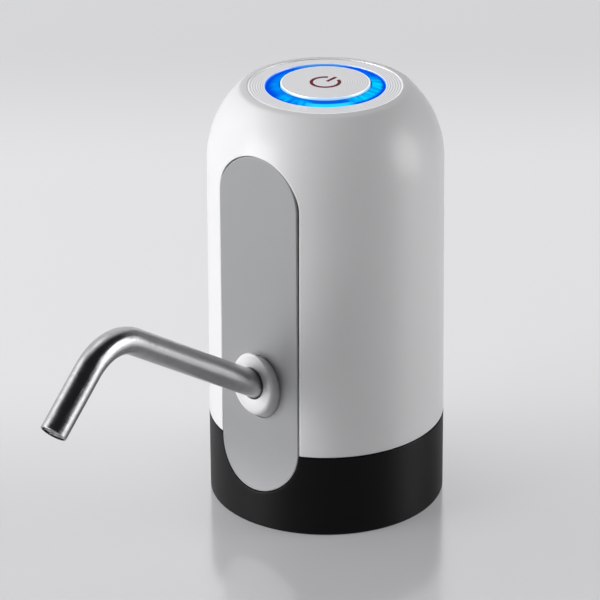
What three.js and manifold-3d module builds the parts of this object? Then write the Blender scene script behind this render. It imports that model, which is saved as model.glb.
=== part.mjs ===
// Rechargeable pump for a large water bottle, in millimetres.
// +Z is up, the body's axis is Z, the table is z = 0 and the spout reaches towards -Y.
import * as THREE from "three";
import { mergeVertices } from "three/addons/utils/BufferGeometryUtils.js";
import Module from "manifold-3d";

const wasm = await Module();
wasm.setup();

// Fits and facets
const gap = 0.3; // between pieces that are cut or moulded to each other
const seatGap = 0.1; // between flat faces that are clamped together
const overrun = 1; // how far a cutting shape passes the face that it cuts
const weldDepth = 0.4; // how far the joined shapes of one piece sink into each other
const mergeTolerance = 1e-4;
const bodyFacets = 32;
const ringFacets = 18;
const smallFacets = 12;
const spoutFacets = 16;
const pipeFacets = 8;
const pinFacets = 6;
const panelArcFacets = 6; // in each quarter of the panel's ends
const portArcFacets = 4;
const roundingFacets = 3;
const nutSides = 6;
const oringFacets = 6;
const magnetFacets = 6;
const poleFacets = 4;

// Housing
const bodyRadius = 36;
const baseHeight = 26.2; // table to the seam between base and shell
const seamWidth = 0.3;
const wall = 2;
const draft = 0.5; // how much the straight side narrows up to the shoulder
const batteryShoulderDrop = 0.6; // how far below the battery's top the shoulder may start
const motorShoulderDrop = 1.357; // the same below the motor's top
const shoulderRadius = 30;
const shoulderSteps = 5;
const crownRise = 0.6;
const crownWidth = 2.34; // from the top opening to the shoulder's end
const edgeBreak = 0.5; // broken edges at the seam and the foot

// Bottle socket under the base
const neckRadius = 27.5; // a 55 mm bottle neck
const sleeveThickness = 1.6;
const sleeveRibCount = 2;
const sleeveRibHeight = 0.4;
const socketWall = 1.6;
const deckTop = 24.7;
const deckThickness = 2.2;
const rimPadThickness = 1.5;
const rimPadWidth = 6.5;
const lipHeight = 3;
const lipThickness = 1.4;
const skirtRibCount = 6;
const ribThickness = 1.4;

// Front panel
const panelHalfWidth = 14.6;
const panelBottom = 12.2;
const panelTopRise = 10.8; // above the height at which the shoulder starts
const panelSetBack = 3.6; // of the flat face from the body's front
const panelThickness = 1.8;
const panelJoint = 0.45; // open joint round the panel
const panelRunOut = 17.3; // length over which the panel's foot curves out
const panelRunOutSteps = 7;
const panelPinRadius = 1.2;
const panelPinLength = 1.8;
const panelPinShares = [0.42, 0.93]; // of the flat stretch

// Spout
const spoutRise = THREE.MathUtils.degToRad(32.16);
const spoutFall = THREE.MathUtils.degToRad(41.28);
const spoutRootLead = 0.6; // in front of the panel's face, where the root's height is taken
const spoutRootHeight = 45.54;
const spoutRadius = 4;
const spoutWall = 0.6;
const spoutReach = 67.6; // straight stretch from the root plane to the bend
const spoutBendRadius = 17.1;
const spoutBendSteps = 10;
const spoutEndLength = 20.4;
const spoutPlugLength = 18.5; // behind the root plane, in the socket
const screenRecess = 1;
const screenThickness = 0.5;
const screenRim = 0.5;
const screenWireWidth = 0.3;
const screenMeshCount = 4;

// Outlet collar and the socket behind it
const collarRadius = 8.5;
const collarProud = 4.6; // in front of the panel's face
const collarEdge = 1.1;
const collarSpigotRadius = 6.6;
const spoutClearance = 0.35;
const socketRadius = 7.4;
const socketNeckRadius = 4.6;
const socketShoulder = 1.5;
const socketBoreClearance = 0.25;
const socketFlangeWidth = 27;
const socketFlangeHeight = 12;
const socketFlangeThickness = 2;
const socketScrewX = 10.4;
const oringSection = 1.5;
const oringClearance = 0.1;
const oringShares = [0.67, 0.855]; // of the plug's length

// Water path
const waterBoreRadius = 1.9;
const barbRadius = 2.9;
const barbStep = 0.4;
const barbLength = 7;
const barbCount = 2;
const hoseWall = 1.1;
const outletHoseStandOff = 1.6; // above the barb's root, clear of the inclined socket
const inletFlangeRadius = 6.4;
const inletFlangeThickness = 1.6;
const inletThreadRadius = 4;
const inletNutRadius = 6.2;
const inletNutHeight = 2.6;
const inletDrop = 10; // length of the barb below the flange

// Top: plate, light ring, button
const plateRecess = 0.2;
const plateWidth = 4.95;
const plateThickness = 1.2;
const plateCone = 0.2;
const lightOuterRadius = 17.8;
const lightWidth = 4.15;
const lightRise = 0.7; // the light ring's inner edge above its outer edge
const lightMiddleShare = 0.7; // of that rise, halfway across
const lightFoot = 0.8;
const lightFootHeight = 2.6;
const buttonProud = 1; // above the shell's crown
const buttonCapThickness = 1.2;
const buttonEdge = 0.35;
const buttonTravel = 0.5;
const carrierThickness = 1.2;
const carrierLugWidth = 3;
const carrierLugReach = 1.3; // under the light ring, to keep the button in
const carrierLugHeight = 0.6;
const carrierWall = 1.1;
const buttonBoardReach = 2.5; // beyond the light ring
const boardThickness = 1.6;
const frameLedge = 1.9;
const frameLedgeThickness = 1.3;
const frameFlangeReach = 2.25; // under the crown
const frameFlangeThickness = 1.6;
const frameSkirtWall = 1.6;
const frameHookCount = 3;
const frameHookWidth = 4;
const frameHookHeight = 1;
const ledCount = 4;
const ledSize = 3;
const ledHeight = 0.9;
const ledInset = 2.8; // from the light ring's outer edge to the LEDs' circle
const switchSize = 6;
const switchHeight = 3.4;
const plungerRadius = 1.7;
const plungerLength = 2.2;

// Diaphragm pump, on an upright axis
const pumpStandOff = 4.5; // behind the pocket's wall
const pumpRadius = 13.3;
const pumpBottom = 56;
const headHeight = 4.4;
const headPocketDepth = 2;
const outletPocketRadius = 4;
const inletPocketInner = 5.2;
const inletPocketOuter = 9.5;
const inletPortOffset = 9;
const valveSheetThickness = 0.8;
const valveHoleRadius = 0.6;
const outletValveCircle = 3.3;
const inletValveCircle = 7.4;
const chamberPlateThickness = 5;
const cupCount = 3;
const cupCircle = 6.2;
const cupRadius = 3.4;
const cupWall = 0.9;
const cupHeight = 4;
const chamberDepth = 2;
const diaphragmThickness = 1.2;
const cupNeckRadius = 1.2;
const cupHeadRadius = 2.1;
const cupHeadHeight = 0.9;
const wobbleTilt = THREE.MathUtils.degToRad(6);
const wobbleThickness = 1.6;
const wobbleArmRadius = 2.9;
const wobbleHubRadius = 3;
const wobbleHubHeight = 3.6;
const crankPinRadius = 0.9;
const crankRadius = 4.4;
const crankHeight = 4;
const housingWall = 1.5;
const housingFloor = 1.6;
const pumpScrewCount = 3;
const pumpScrewCircle = 11.1;
const pumpScrewLength = 18;
const pumpScrewBoss = 2.1;

// Motor
const motorRadius = 12.2;
const motorLength = 27;
const motorWall = 1;
const motorBossRadius = 3;
const shaftRadius = 1;
const endCapHeight = 3.2;
const endCapBossRadius = 4;
const magnetThickness = 1.9;
const magnetSweepShare = 0.32; // of a full turn
const magnetLengthShare = 0.66; // of the can
const poleCount = 3;
const airGap = 0.5;
const poleArmWidth = 3;
const poleShoeThickness = 1.3;
const poleShoeSweepShare = 0.24; // of a full turn
const armatureLengthShare = 0.48; // of the can
const windingWidth = 7.6;
const windingOverhang = 1.4;
const coreRadius = 3;
const commutatorRadius = 2.7;
const commutatorLength = 4;

// Battery, chassis and control board
const batteryRadius = 9.2;
const batteryLength = 65;
const batteryStandOff = 2.5; // from the shell's inside
const batteryBottom = 44.6;
const batteryCapRadius = 3.2;
const batteryCapHeight = 1.2;
const chassisWall = 1.8;
const webHalfWidth = 13;
const webNeckHalfWidth = 5.2;
const webTopDrop = 1.7; // below the upper clamp's top
const troughHeightShare = 0.8; // of the battery
const footArmInner = 10.2;
const footArmOuter = 18;
const footHalfLength = 14;
const footBarFront = 7;
const footThickness = 2;
const clampHeight = 3.6;
const clampShares = [0.12, 0.62]; // of the motor can
const clampRibHalfWidth = 4;
const slotCount = 3;
const slotLength = 10;
const slotHalfWidth = 2;
const controlBoardHalfWidth = 10.5;
const controlBoardLength = 18.8;
const controlBoardSetBack = 4.6; // from the body's rear
const controlBoardBottom = 30.6;
const boardPostRadius = 2.2;
const boardScrewX = 7.9;
const boardScrewInset = 3.6; // from the control board's front edge
const chipLength = 6;
const chipWidth = 5;
const chipHeight = 1.6;
const chipInset = 7.9; // from the control board's front edge to the chip's middle
const portWidth = 8.9;
const portHeight = 3.3;
const portDepth = 7.4;
const portSkin = 0.4;
const portRecess = 1; // the port's mouth behind the body's surface
const portTongueThickness = 0.8;
const portTongueWidth = 6.2;

// Screws and the columns that they go into
const screwRadius = 1.3;
const screwHeadRadius = 2.4;
const screwHeadHeight = 1.5;
const screwLength = 12;
const screwSlotWidth = 0.6;
const columnRadius = 3.3;
const columnCircle = 17;
const columnHeight = 14;
const columnAngles = [35, 145, 215, 325].map(THREE.MathUtils.degToRad);
const smallScrewRadius = 0.9;
const smallScrewHeadRadius = 1.7;
const smallScrewHeadHeight = 1;

// Leads
const leadRadius = 0.7;
const leadSides = 5;
const leadSteps = 14;
const leadLength = 2.4; // straight stretch where a lead leaves or meets a piece
const leadPitch = 1.8; // between leads that lie side by side
const corridorX = 8.4; // middle of the passage beside the chassis's neck

// Places worked out from the sizes above
const headTop = pumpBottom + headHeight;
const valveSheetBottom = headTop + seatGap;
const chamberBottom = valveSheetBottom + valveSheetThickness + seatGap;
const chamberTop = chamberBottom + chamberPlateThickness;
const diaphragmBottom = chamberTop + seatGap;
const diaphragmTop = diaphragmBottom + diaphragmThickness;
const housingBottom = diaphragmTop + seatGap;
const cupTop = diaphragmTop + cupHeight;
const wobbleHeight = cupTop + wobbleThickness / 2 + cupRadius * Math.tan(wobbleTilt) + gap;
const crankBottom = wobbleHeight + wobbleHubHeight + 2 * gap;
const crankTop = crankBottom + crankHeight;
const housingTop = crankTop + gap + housingFloor;
const motorBottom = housingTop + seatGap;
const motorTop = motorBottom + motorLength;
const batteryTop = batteryBottom + batteryLength;
const shoulderHeight = Math.max(batteryTop - batteryShoulderDrop, motorTop - motorShoulderDrop);
const topOpeningRadius = lightOuterRadius + plateWidth + 2 * gap;
const shoulderCentre = bodyRadius - draft - shoulderRadius;
const shoulderSweep = Math.acos((topOpeningRadius + crownWidth - shoulderCentre) / shoulderRadius);
const shoulderTop = shoulderHeight + shoulderRadius * Math.sin(shoulderSweep);
const crownHeight = shoulderTop + crownRise;
const panelTop = shoulderHeight + panelTopRise;
const panelPlane = bodyRadius - panelSetBack; // distance of the flat face from the body's axis
const panelBack = panelPlane - panelThickness;
const pocketFloor = panelBack - gap; // front of the shell's chord wall
const chordBack = pocketFloor - wall;
const pumpAxisY = pumpRadius + pumpStandOff - chordBack;
const spoutRootPlane = panelPlane + spoutRootLead;
const collarFront = panelPlane + collarProud;
const skirtInner = bodyRadius - wall;
const socketInner = neckRadius + sleeveThickness + gap;
const socketOuter = socketInner + socketWall;
const deckBottom = deckTop - deckThickness;
const rimPadBottom = deckBottom - seatGap - rimPadThickness;
const hoseBore = barbRadius + 2 * seatGap;
const hoseRadius = hoseBore + hoseWall;
const plateTop = crownHeight - plateRecess;
const frameTop = plateTop - plateThickness - seatGap;
const frameBore = lightOuterRadius + lightFoot + gap;
const lightFootTop = frameTop - seatGap;
const lightBottom = lightFootTop - lightFootHeight;
const ledgeTop = lightBottom - seatGap;
const ledgeBottom = ledgeTop - frameLedgeThickness;
const buttonBoardTop = ledgeBottom - seatGap;
const buttonBoardBottom = buttonBoardTop - boardThickness;
const switchBottom = buttonBoardTop + seatGap;
const switchTop = switchBottom + switchHeight;
const buttonRadius = lightOuterRadius - lightWidth - gap;
const buttonBoardRadius = lightOuterRadius + buttonBoardReach;
const frameFlangeRadius = topOpeningRadius + frameFlangeReach;
const ledCircle = lightOuterRadius - ledInset;
const buttonTop = crownHeight + buttonProud;
const carrierTop = buttonTop - buttonCapThickness - seatGap;
const carrierBottom = carrierTop - carrierThickness;
const carrierFoot = lightBottom - gap - carrierLugHeight;
const plungerTop = carrierBottom - seatGap;
const footBottom = deckTop + seatGap;
const footTop = footBottom + footThickness;
const columnBottom = footTop + seatGap;
const batteryAxisY = skirtInner - batteryRadius - batteryStandOff;
const troughRadius = batteryRadius + gap;
const webTop = motorBottom + clampShares[1] * motorLength + clampHeight - webTopDrop;
const webBack = batteryAxisY - troughRadius - chassisWall + weldDepth;
const webFront = webBack - chassisWall;
const controlBoardTop = controlBoardBottom + boardThickness;
const controlBoardRear = bodyRadius - controlBoardSetBack;
const controlBoardFront = controlBoardRear - controlBoardLength;
const boardScrewY = controlBoardFront + boardScrewInset;
const chipY = controlBoardFront + chipInset;
const portCentreZ = controlBoardTop + seatGap + portHeight / 2;
const portMouth = bodyRadius - portRecess;
const elbowTop = pumpBottom - barbLength - 2 * gap;
const socketDepth = (spoutRootPlane + pumpAxisY) / Math.cos(spoutRise) + waterBoreRadius;

// Joining and cutting

// A closed mesh's geometry as a solid, with its faces pointing out.
function solid(geometry) {
  const bare = geometry.clone();
  for (const name of Object.keys(bare.attributes)) {
    if (name !== "position") bare.deleteAttribute(name);
  }
  const merged = mergeVertices(bare, mergeTolerance);
  const corners = merged.index.array;
  const triVerts = [];
  for (let i = 0; i < corners.length; i += 3) {
    const [a, b, c] = [corners[i], corners[i + 1], corners[i + 2]];
    if (a !== b && b !== c && c !== a) triVerts.push(a, b, c);
  }
  const vertProperties = merged.attributes.position.array;
  const build = (list) =>
    new wasm.Manifold(new wasm.Mesh({ numProp: 3, vertProperties, triVerts: new Uint32Array(list) }));
  const made = build(triVerts);
  return made.volume() < 0 ? build(triVerts.reverse()) : made;
}

// A solid's surface as a three.js geometry.
function surface(made) {
  const mesh = made.getMesh();
  const geometry = new THREE.BufferGeometry();
  geometry.setAttribute("position", new THREE.BufferAttribute(new Float32Array(mesh.vertProperties), 3));
  geometry.setIndex(new THREE.BufferAttribute(new Uint32Array(mesh.triVerts), 1));
  geometry.computeVertexNormals();
  return geometry;
}

const join = (...solids) => solids.reduce((all, one) => all.add(one));
const cut = (from, ...tools) => tools.reduce((left, one) => left.subtract(one), from);
const placed = (made, matrix) => made.transform(matrix.toArray());
const around = (count, make) => Array.from({ length: count }, (_, i) => make((i * 2 * Math.PI) / count));

function turnAboutZ(made, angle, x = 0, y = 0) {
  return made.translate([-x, -y, 0]).rotate([0, 0, THREE.MathUtils.radToDeg(angle)]).translate([x, y, 0]);
}

// Basic shapes

// A turned solid about Z from points [radius, height].
function turned(profile, facets) {
  const points = profile.map(([radius, height]) => new THREE.Vector2(radius, height));
  const onAxis = profile[0][0] === 0 && profile[profile.length - 1][0] === 0;
  if (!onAxis) points.push(points[0].clone());
  return solid(new THREE.LatheGeometry(points, facets).rotateX(Math.PI / 2));
}

function rod(radius, low, high, [x, y] = [0, 0], facets = pinFacets) {
  const geometry = new THREE.CylinderGeometry(radius, radius, high - low, facets);
  return solid(geometry.rotateX(Math.PI / 2).translate(x, y, (low + high) / 2));
}

function washer(inner, outer, low, high, facets = smallFacets) {
  return turned([[inner, low], [outer, low], [outer, high], [inner, high]], facets);
}

function block([x0, x1], [y0, y1], [z0, z1]) {
  const geometry = new THREE.BoxGeometry(x1 - x0, y1 - y0, z1 - z0);
  return solid(geometry.translate((x0 + x1) / 2, (y0 + y1) / 2, (z0 + z1) / 2));
}

// A flat outline in x and z, given depth from y0 to y1.
function upright(shape, y0, y1, options = {}) {
  const settings = { depth: y1 - y0, bevelEnabled: false, curveSegments: pinFacets / 2, ...options };
  return new THREE.ExtrudeGeometry(shape, settings).rotateX(Math.PI / 2).translate(0, y1, 0);
}

// A flat outline in x and y, given height from low to high.
function raised(shape, low, high, curveSegments = pinFacets / 2) {
  const settings = { depth: high - low, bevelEnabled: false, curveSegments };
  return solid(new THREE.ExtrudeGeometry(shape, settings).translate(0, 0, low));
}

function rodAlongY(radius, y0, y1, x, z) {
  const geometry = new THREE.CylinderGeometry(radius, radius, y1 - y0, pinFacets);
  return solid(geometry.translate(x, (y0 + y1) / 2, z));
}

function circleShape(radius, boreRadius = 0) {
  const shape = new THREE.Shape().absarc(0, 0, radius, 0, 2 * Math.PI);
  if (boreRadius > 0) shape.holes.push(new THREE.Path().absarc(0, 0, boreRadius, 0, 2 * Math.PI, true));
  return shape;
}

function stadium(halfWidth, bottom, top) {
  const shape = new THREE.Shape();
  shape.absarc(0, bottom + halfWidth, halfWidth, Math.PI, 2 * Math.PI);
  shape.absarc(0, top - halfWidth, halfWidth, 0, Math.PI);
  shape.closePath();
  return shape;
}

// A piece of a ring, its middle on +X.
function sector(inner, outer, sweep) {
  const shape = new THREE.Shape();
  shape.absarc(0, 0, outer, -sweep / 2, sweep / 2);
  shape.absarc(0, 0, inner, sweep / 2, -sweep / 2, true);
  shape.closePath();
  return shape;
}

// A path that places a swept section exactly at its stations.
class StationPath extends THREE.Curve {
  constructor(points, tangents) {
    super();
    this.points = points;
    this.tangents = tangents;
  }
  station(share) {
    return Math.round(share * (this.points.length - 1));
  }
  getPointAt(share) {
    return this.points[this.station(share)].clone();
  }
  getTangentAt(share) {
    return this.tangents[this.station(share)].clone();
  }
}

function swept(shape, path, steps, sides) {
  const settings = { steps, bevelEnabled: false, curveSegments: sides / 2, extrudePath: path };
  return solid(new THREE.ExtrudeGeometry(shape, settings));
}

// A hose or lead through a few points.
function flexible(points, radius, boreRadius, sides, steps) {
  const path = new THREE.CatmullRomCurve3(points.map((point) => new THREE.Vector3(...point)));
  return swept(circleShape(radius, boreRadius), path, steps, sides);
}

// A screw with a cross slot: the head below z = 0, the shank above.
function screw(radius, headRadius, headHeight, length) {
  const slot = block(
    [-headRadius / 2, headRadius / 2],
    [-screwSlotWidth / 2, screwSlotWidth / 2],
    [-headHeight - overrun, -headHeight / 2],
  );
  const body = turned(
    [[0, -headHeight], [headRadius, -headHeight], [headRadius, 0], [radius, 0],
      [radius, length - radius], [0, length]],
    pinFacets,
  );
  return cut(body, slot, turnAboutZ(slot, Math.PI / 2));
}

// A hose barb from z = 0 at its tip to barbLength at its root, without its bore.
function barb() {
  const profile = [[0, 0], [barbRadius - barbStep, 0]];
  const pitch = barbLength / (barbCount + 1);
  for (let i = 1; i <= barbCount; i++) {
    profile.push([barbRadius, i * pitch], [barbRadius - barbStep, i * pitch]);
  }
  profile.push([barbRadius - barbStep, barbLength], [0, barbLength]);
  return turned(profile, pipeFacets);
}

// Materials
const finish = (color, roughness, metalness = 0) => () =>
  new THREE.MeshStandardMaterial({ color, roughness, metalness });
const whitePlastic = finish(0xf1f1ef, 0.35);
const blackPlastic = finish(0x151517, 0.4);
const greyPlastic = finish(0xa7a8aa, 0.45);
const blueLight = finish(0x0a6cff, 0.3);
const steel = finish(0xb9b7b4, 0.3, 1);
const plate = finish(0xd0d0d2, 0.25, 1);
const naturalPlastic = finish(0xdfe0dc, 0.5);
const silicone = finish(0xdadfe2, 0.6);
const darkRubber = finish(0x2a2a2c, 0.8);
const boardGreen = finish(0x1f5b3a, 0.5);
const copper = finish(0xb0643a, 0.4, 1);
const magnetGrey = finish(0x3a3a3d, 0.6);
const wrapBlue = finish(0x2f63b5, 0.4);
const redLead = finish(0xb32222, 0.5);
const blackLead = finish(0x1a1a1a, 0.5);
const whiteLead = finish(0xe6e6e2, 0.5);
const ledYellow = finish(0xe8e2b0, 0.4);

const part = new THREE.Group();

// Adds a named piece to a group, which places it.
function node(name, made, material, parent = part) {
  const mesh = new THREE.Mesh(surface(made), material());
  mesh.name = name;
  parent.add(mesh);
  return mesh;
}

// The spout's own frame: z along the root's axis and outwards, y upwards across it.
const spoutFrame = new THREE.Group();
spoutFrame.position.set(0, -spoutRootPlane, spoutRootHeight);
spoutFrame.rotation.x = Math.PI / 2 - spoutRise;
spoutFrame.updateMatrixWorld(true);
part.add(spoutFrame);
const fromSpoutFrame = (made) => placed(made, spoutFrame.matrixWorld);
const spoutAxisHeight = (y) => spoutRootHeight + (-y - spoutRootPlane) * Math.tan(spoutRise);

// An oval with upright ends at y0 and y1 that leans with the spout and is round seen along it.
function leaningOval(radius, y0, y1, boreRadius = 0, edge = 0) {
  const oval = (size) => [0, 0, size, size / Math.cos(spoutRise), 0, 2 * Math.PI];
  const shape = new THREE.Shape().absellipse(...oval(radius));
  if (boreRadius > 0) shape.holes.push(new THREE.Path().absellipse(...oval(boreRadius), true));
  const rounding = { bevelEnabled: true, bevelSize: edge, bevelThickness: edge, bevelOffset: -edge };
  const rounded = edge > 0 ? { ...rounding, bevelSegments: roundingFacets } : {};
  const options = { curveSegments: smallFacets / 2, ...rounded };
  const lean = new THREE.Matrix4();
  lean.elements[6] = -Math.tan(spoutRise);
  const geometry = upright(shape, y0 + edge, y1 - edge, options).applyMatrix4(lean);
  return solid(geometry.translate(0, 0, spoutAxisHeight(0)));
}

// Housing

// Half section of the shell's outside, moved inwards by inset, from a bottom up to the crown.
function sideOutline(inset, bottom) {
  const points = [[bodyRadius - inset, bottom], [bodyRadius - draft - inset, shoulderHeight]];
  const reach = shoulderRadius - inset;
  for (let step = 1; step <= shoulderSteps; step++) {
    const angle = (shoulderSweep * step) / shoulderSteps;
    points.push([shoulderCentre + reach * Math.cos(angle), shoulderHeight + reach * Math.sin(angle)]);
  }
  return points;
}

// Height of the shell's underside at a radius on the shoulder.
function underShoulder(radius) {
  const reach = shoulderRadius - wall;
  return shoulderHeight + Math.sqrt(reach ** 2 - (radius - shoulderCentre) ** 2);
}

const panelOutline = (clearance) =>
  stadium(panelHalfWidth + clearance, panelBottom - clearance, panelTop + clearance);

const panelArcs = { curveSegments: panelArcFacets };
const panelOpening = () =>
  solid(upright(panelOutline(panelJoint), -bodyRadius - overrun, -pocketFloor, panelArcs));

// The two locating pins on the panel's back, or the holes for them.
function panelPins(radius, y0, y1) {
  const flatBottom = panelBottom + panelRunOut;
  const flatTop = panelTop - panelHalfWidth;
  return panelPinShares.map((share) =>
    rodAlongY(radius, y0, y1, 0, THREE.MathUtils.lerp(flatBottom, flatTop, share)));
}

const socketScrewHeight = spoutAxisHeight(-chordBack);
const socketScrewSides = [-1, 1];
const socketScrewHoles = (radius, y0, y1) =>
  socketScrewSides.map((side) => rodAlongY(radius, y0, y1, side * socketScrewX, socketScrewHeight));

const columnPlace = (angle) => [columnCircle * Math.cos(angle), columnCircle * Math.sin(angle)];

function screwColumn(angle) {
  const top = columnBottom + columnHeight;
  const column = rod(columnRadius, columnBottom, top, columnPlace(angle));
  const rib = block(
    [columnCircle, skirtInner - draft + weldDepth],
    [-ribThickness / 2, ribThickness / 2],
    [baseHeight + lipHeight + gap, top],
  );
  const hole = rod(screwRadius + seatGap, columnBottom - overrun, top - wall, columnPlace(angle));
  return cut(join(column, turnAboutZ(rib, angle)), hole);
}

// The charging port's outline, grown by a clearance, from y0 to y1.
function portBody(clearance, y0, y1) {
  const half = portHeight / 2 + clearance;
  const reach = (portWidth - portHeight) / 2;
  const shape = new THREE.Shape();
  shape.absarc(reach, portCentreZ, half, -Math.PI / 2, Math.PI / 2);
  shape.absarc(-reach, portCentreZ, half, Math.PI / 2, (3 * Math.PI) / 2);
  shape.closePath();
  return solid(upright(shape, y0, y1, { curveSegments: portArcFacets }));
}

function outerShell() {
  const bottom = baseHeight + seamWidth / 2;
  const outside = sideOutline(0, bottom + edgeBreak);
  const inside = sideOutline(wall, bottom).reverse();
  const underCrown = inside[0][1];
  const skin = turned(
    [[bodyRadius - edgeBreak, bottom], ...outside, [topOpeningRadius, crownHeight],
      [topOpeningRadius, underCrown], ...inside],
    bodyFacets,
  );
  const filler = turned([[0, bottom], ...sideOutline(wall / 2, bottom), [0, shoulderTop - wall]], bodyFacets);
  const chord = block([-bodyRadius, bodyRadius], [-pocketFloor, -chordBack], [bottom, shoulderTop]);
  const holeStart = -pocketFloor - overrun;
  const holeEnd = -chordBack + overrun;
  return cut(
    join(skin, chord.intersect(filler), ...columnAngles.map(screwColumn)),
    panelOpening(),
    leaningOval(collarSpigotRadius + gap, holeStart, holeEnd),
    portBody(gap, skirtInner - wall, bodyRadius + overrun),
    ...panelPins(panelPinRadius + gap, holeStart, holeEnd),
    ...socketScrewHoles(smallScrewRadius + seatGap, holeStart, holeEnd),
  );
}

function baseShell() {
  const top = baseHeight - seamWidth / 2;
  const lipOuter = skirtInner - gap;
  const lipInner = lipOuter - lipThickness;
  const lipTop = baseHeight + lipHeight;
  const deckHole = inletThreadRadius + gap;
  const cup = turned(
    [
      [deckHole, deckBottom], [socketInner, deckBottom], [socketInner, edgeBreak],
      [socketInner + edgeBreak, 0], [bodyRadius - edgeBreak, 0], [bodyRadius, edgeBreak],
      [bodyRadius, top - edgeBreak], [bodyRadius - edgeBreak, top], [lipOuter, top],
      [lipOuter, lipTop], [lipInner, lipTop], [lipInner, deckBottom], [skirtInner, deckBottom - wall],
      [skirtInner, wall], [socketOuter, wall], [socketOuter, deckTop], [deckHole, deckTop],
    ],
    bodyFacets,
  );
  const rib = block(
    [socketOuter - weldDepth, skirtInner + weldDepth],
    [-ribThickness / 2, ribThickness / 2],
    [wall - weldDepth, deckBottom - wall],
  );
  const ribs = around(skirtRibCount, (angle) => turnAboutZ(rib, angle + Math.PI / skirtRibCount));
  const holes = columnAngles.map((angle) =>
    rod(screwRadius + gap, deckBottom - overrun, deckTop + overrun, columnPlace(angle)));
  const lipRelief = block(
    [-bodyRadius, bodyRadius], [-bodyRadius - overrun, -chordBack + gap], [top, lipTop + overrun]);
  return cut(join(cup, ...ribs), panelOpening(), lipRelief, ...holes);
}

// The panel is flat over most of its height, and its foot curves out to the base's surface.
function frontPanel() {
  const rise = bodyRadius - panelPlane;
  const arcRadius = (panelRunOut ** 2 + rise ** 2) / (2 * rise);
  const faceAt = (z) => {
    const into = Math.max(0, panelBottom + panelRunOut - z);
    return panelPlane + arcRadius - Math.sqrt(arcRadius ** 2 - into ** 2);
  };
  const heights = [panelTop + overrun];
  for (let step = 0; step <= panelRunOutSteps; step++) {
    heights.push(panelBottom + panelRunOut * (1 - step / panelRunOutSteps));
  }
  const front = heights.map((z) => new THREE.Vector2(-faceAt(z), z));
  const back = heights.map((z) => new THREE.Vector2(-faceAt(z) + panelThickness, z)).reverse();
  const width = panelHalfWidth + overrun;
  const sideways = new THREE.Matrix4().makeBasis(
    new THREE.Vector3(0, 1, 0), new THREE.Vector3(0, 0, 1), new THREE.Vector3(1, 0, 0));
  const settings = { depth: 2 * width, bevelEnabled: false };
  const sheet = solid(
    new THREE.ExtrudeGeometry(new THREE.Shape([...front, ...back]), settings)
      .translate(0, 0, -width).applyMatrix4(sideways),
  );
  const outline = solid(upright(panelOutline(0), -bodyRadius, -panelBack + overrun, panelArcs));
  const pins = panelPins(panelPinRadius, -panelBack - weldDepth, -panelBack + panelPinLength);
  const collarHole = leaningOval(collarRadius + gap, -panelPlane - overrun, -panelBack + overrun);
  return join(cut(sheet.intersect(outline), collarHole), ...pins);
}

function housing() {
  node("outer_shell", outerShell(), whitePlastic);
  node("base_shell", baseShell(), blackPlastic);
  node("front_panel", frontPanel(), greyPlastic);
  const baseScrew = screw(screwRadius, screwHeadRadius, screwHeadHeight, screwLength);
  columnAngles.forEach((angle, i) => {
    const mesh = node(`base_screw_${i + 1}`, baseScrew, steel);
    mesh.position.set(...columnPlace(angle), deckBottom - seatGap);
  });
}

// Silicone sleeve with inward ribs, and the pad that the bottle's rim meets.
function bottleSocket() {
  const sleeveTop = deckBottom - seatGap;
  const outer = neckRadius + sleeveThickness;
  const profile = [[outer, edgeBreak], [outer, sleeveTop], [neckRadius, sleeveTop]];
  const pitch = (rimPadBottom - edgeBreak) / (sleeveRibCount + 1);
  for (let i = sleeveRibCount; i >= 1; i--) {
    const middle = edgeBreak + i * pitch;
    profile.push([neckRadius, middle + sleeveRibHeight], [neckRadius - sleeveRibHeight, middle]);
    profile.push([neckRadius, middle - sleeveRibHeight]);
  }
  profile.push([neckRadius, 2 * edgeBreak], [neckRadius + edgeBreak, edgeBreak]);
  node("neck_sleeve", turned(profile, ringFacets), silicone);
  const padOuter = neckRadius - gap;
  const padTop = rimPadBottom + rimPadThickness;
  const pad = washer(padOuter - rimPadWidth, padOuter, rimPadBottom, padTop, ringFacets);
  node("rim_pad", pad, silicone);
}

// Spout and outlet

function spoutPath() {
  const bend = spoutRise + spoutFall;
  const points = [[0, -spoutPlugLength], [0, spoutReach]].map(([y, z]) => new THREE.Vector3(0, y, z));
  const tangents = points.map(() => new THREE.Vector3(0, 0, 1));
  for (let step = 1; step <= spoutBendSteps; step++) {
    const angle = (bend * step) / spoutBendSteps;
    const across = spoutBendRadius * (Math.cos(angle) - 1);
    points.push(new THREE.Vector3(0, across, spoutReach + spoutBendRadius * Math.sin(angle)));
    tangents.push(new THREE.Vector3(0, -Math.sin(angle), Math.cos(angle)));
  }
  const direction = tangents[tangents.length - 1];
  points.push(points[points.length - 1].clone().addScaledVector(direction, spoutEndLength));
  tangents.push(direction.clone());
  return new StationPath(points, tangents);
}

// A round mesh in a rim, its outer face set back by screenRecess from the spout's mouth at z = 0.
function spoutScreen() {
  const outer = spoutRadius - spoutWall - seatGap;
  const inner = outer - screenRim;
  const high = -screenRecess;
  const low = high - screenThickness;
  const pitch = (2 * inner) / screenMeshCount;
  const half = (pitch - screenWireWidth) / 2;
  const meshes = [];
  for (let i = 0; i < screenMeshCount ** 2; i++) {
    const x = ((i % screenMeshCount) + 0.5) * pitch - inner;
    const y = (Math.floor(i / screenMeshCount) + 0.5) * pitch - inner;
    meshes.push(block([x - half, x + half], [y - half, y + half], [low - overrun, high + overrun]));
  }
  const within = rod(inner, low - overrun, high + overrun, [0, 0], smallFacets);
  return cut(rod(outer, low, high, [0, 0], smallFacets), join(...meshes).intersect(within));
}

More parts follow.
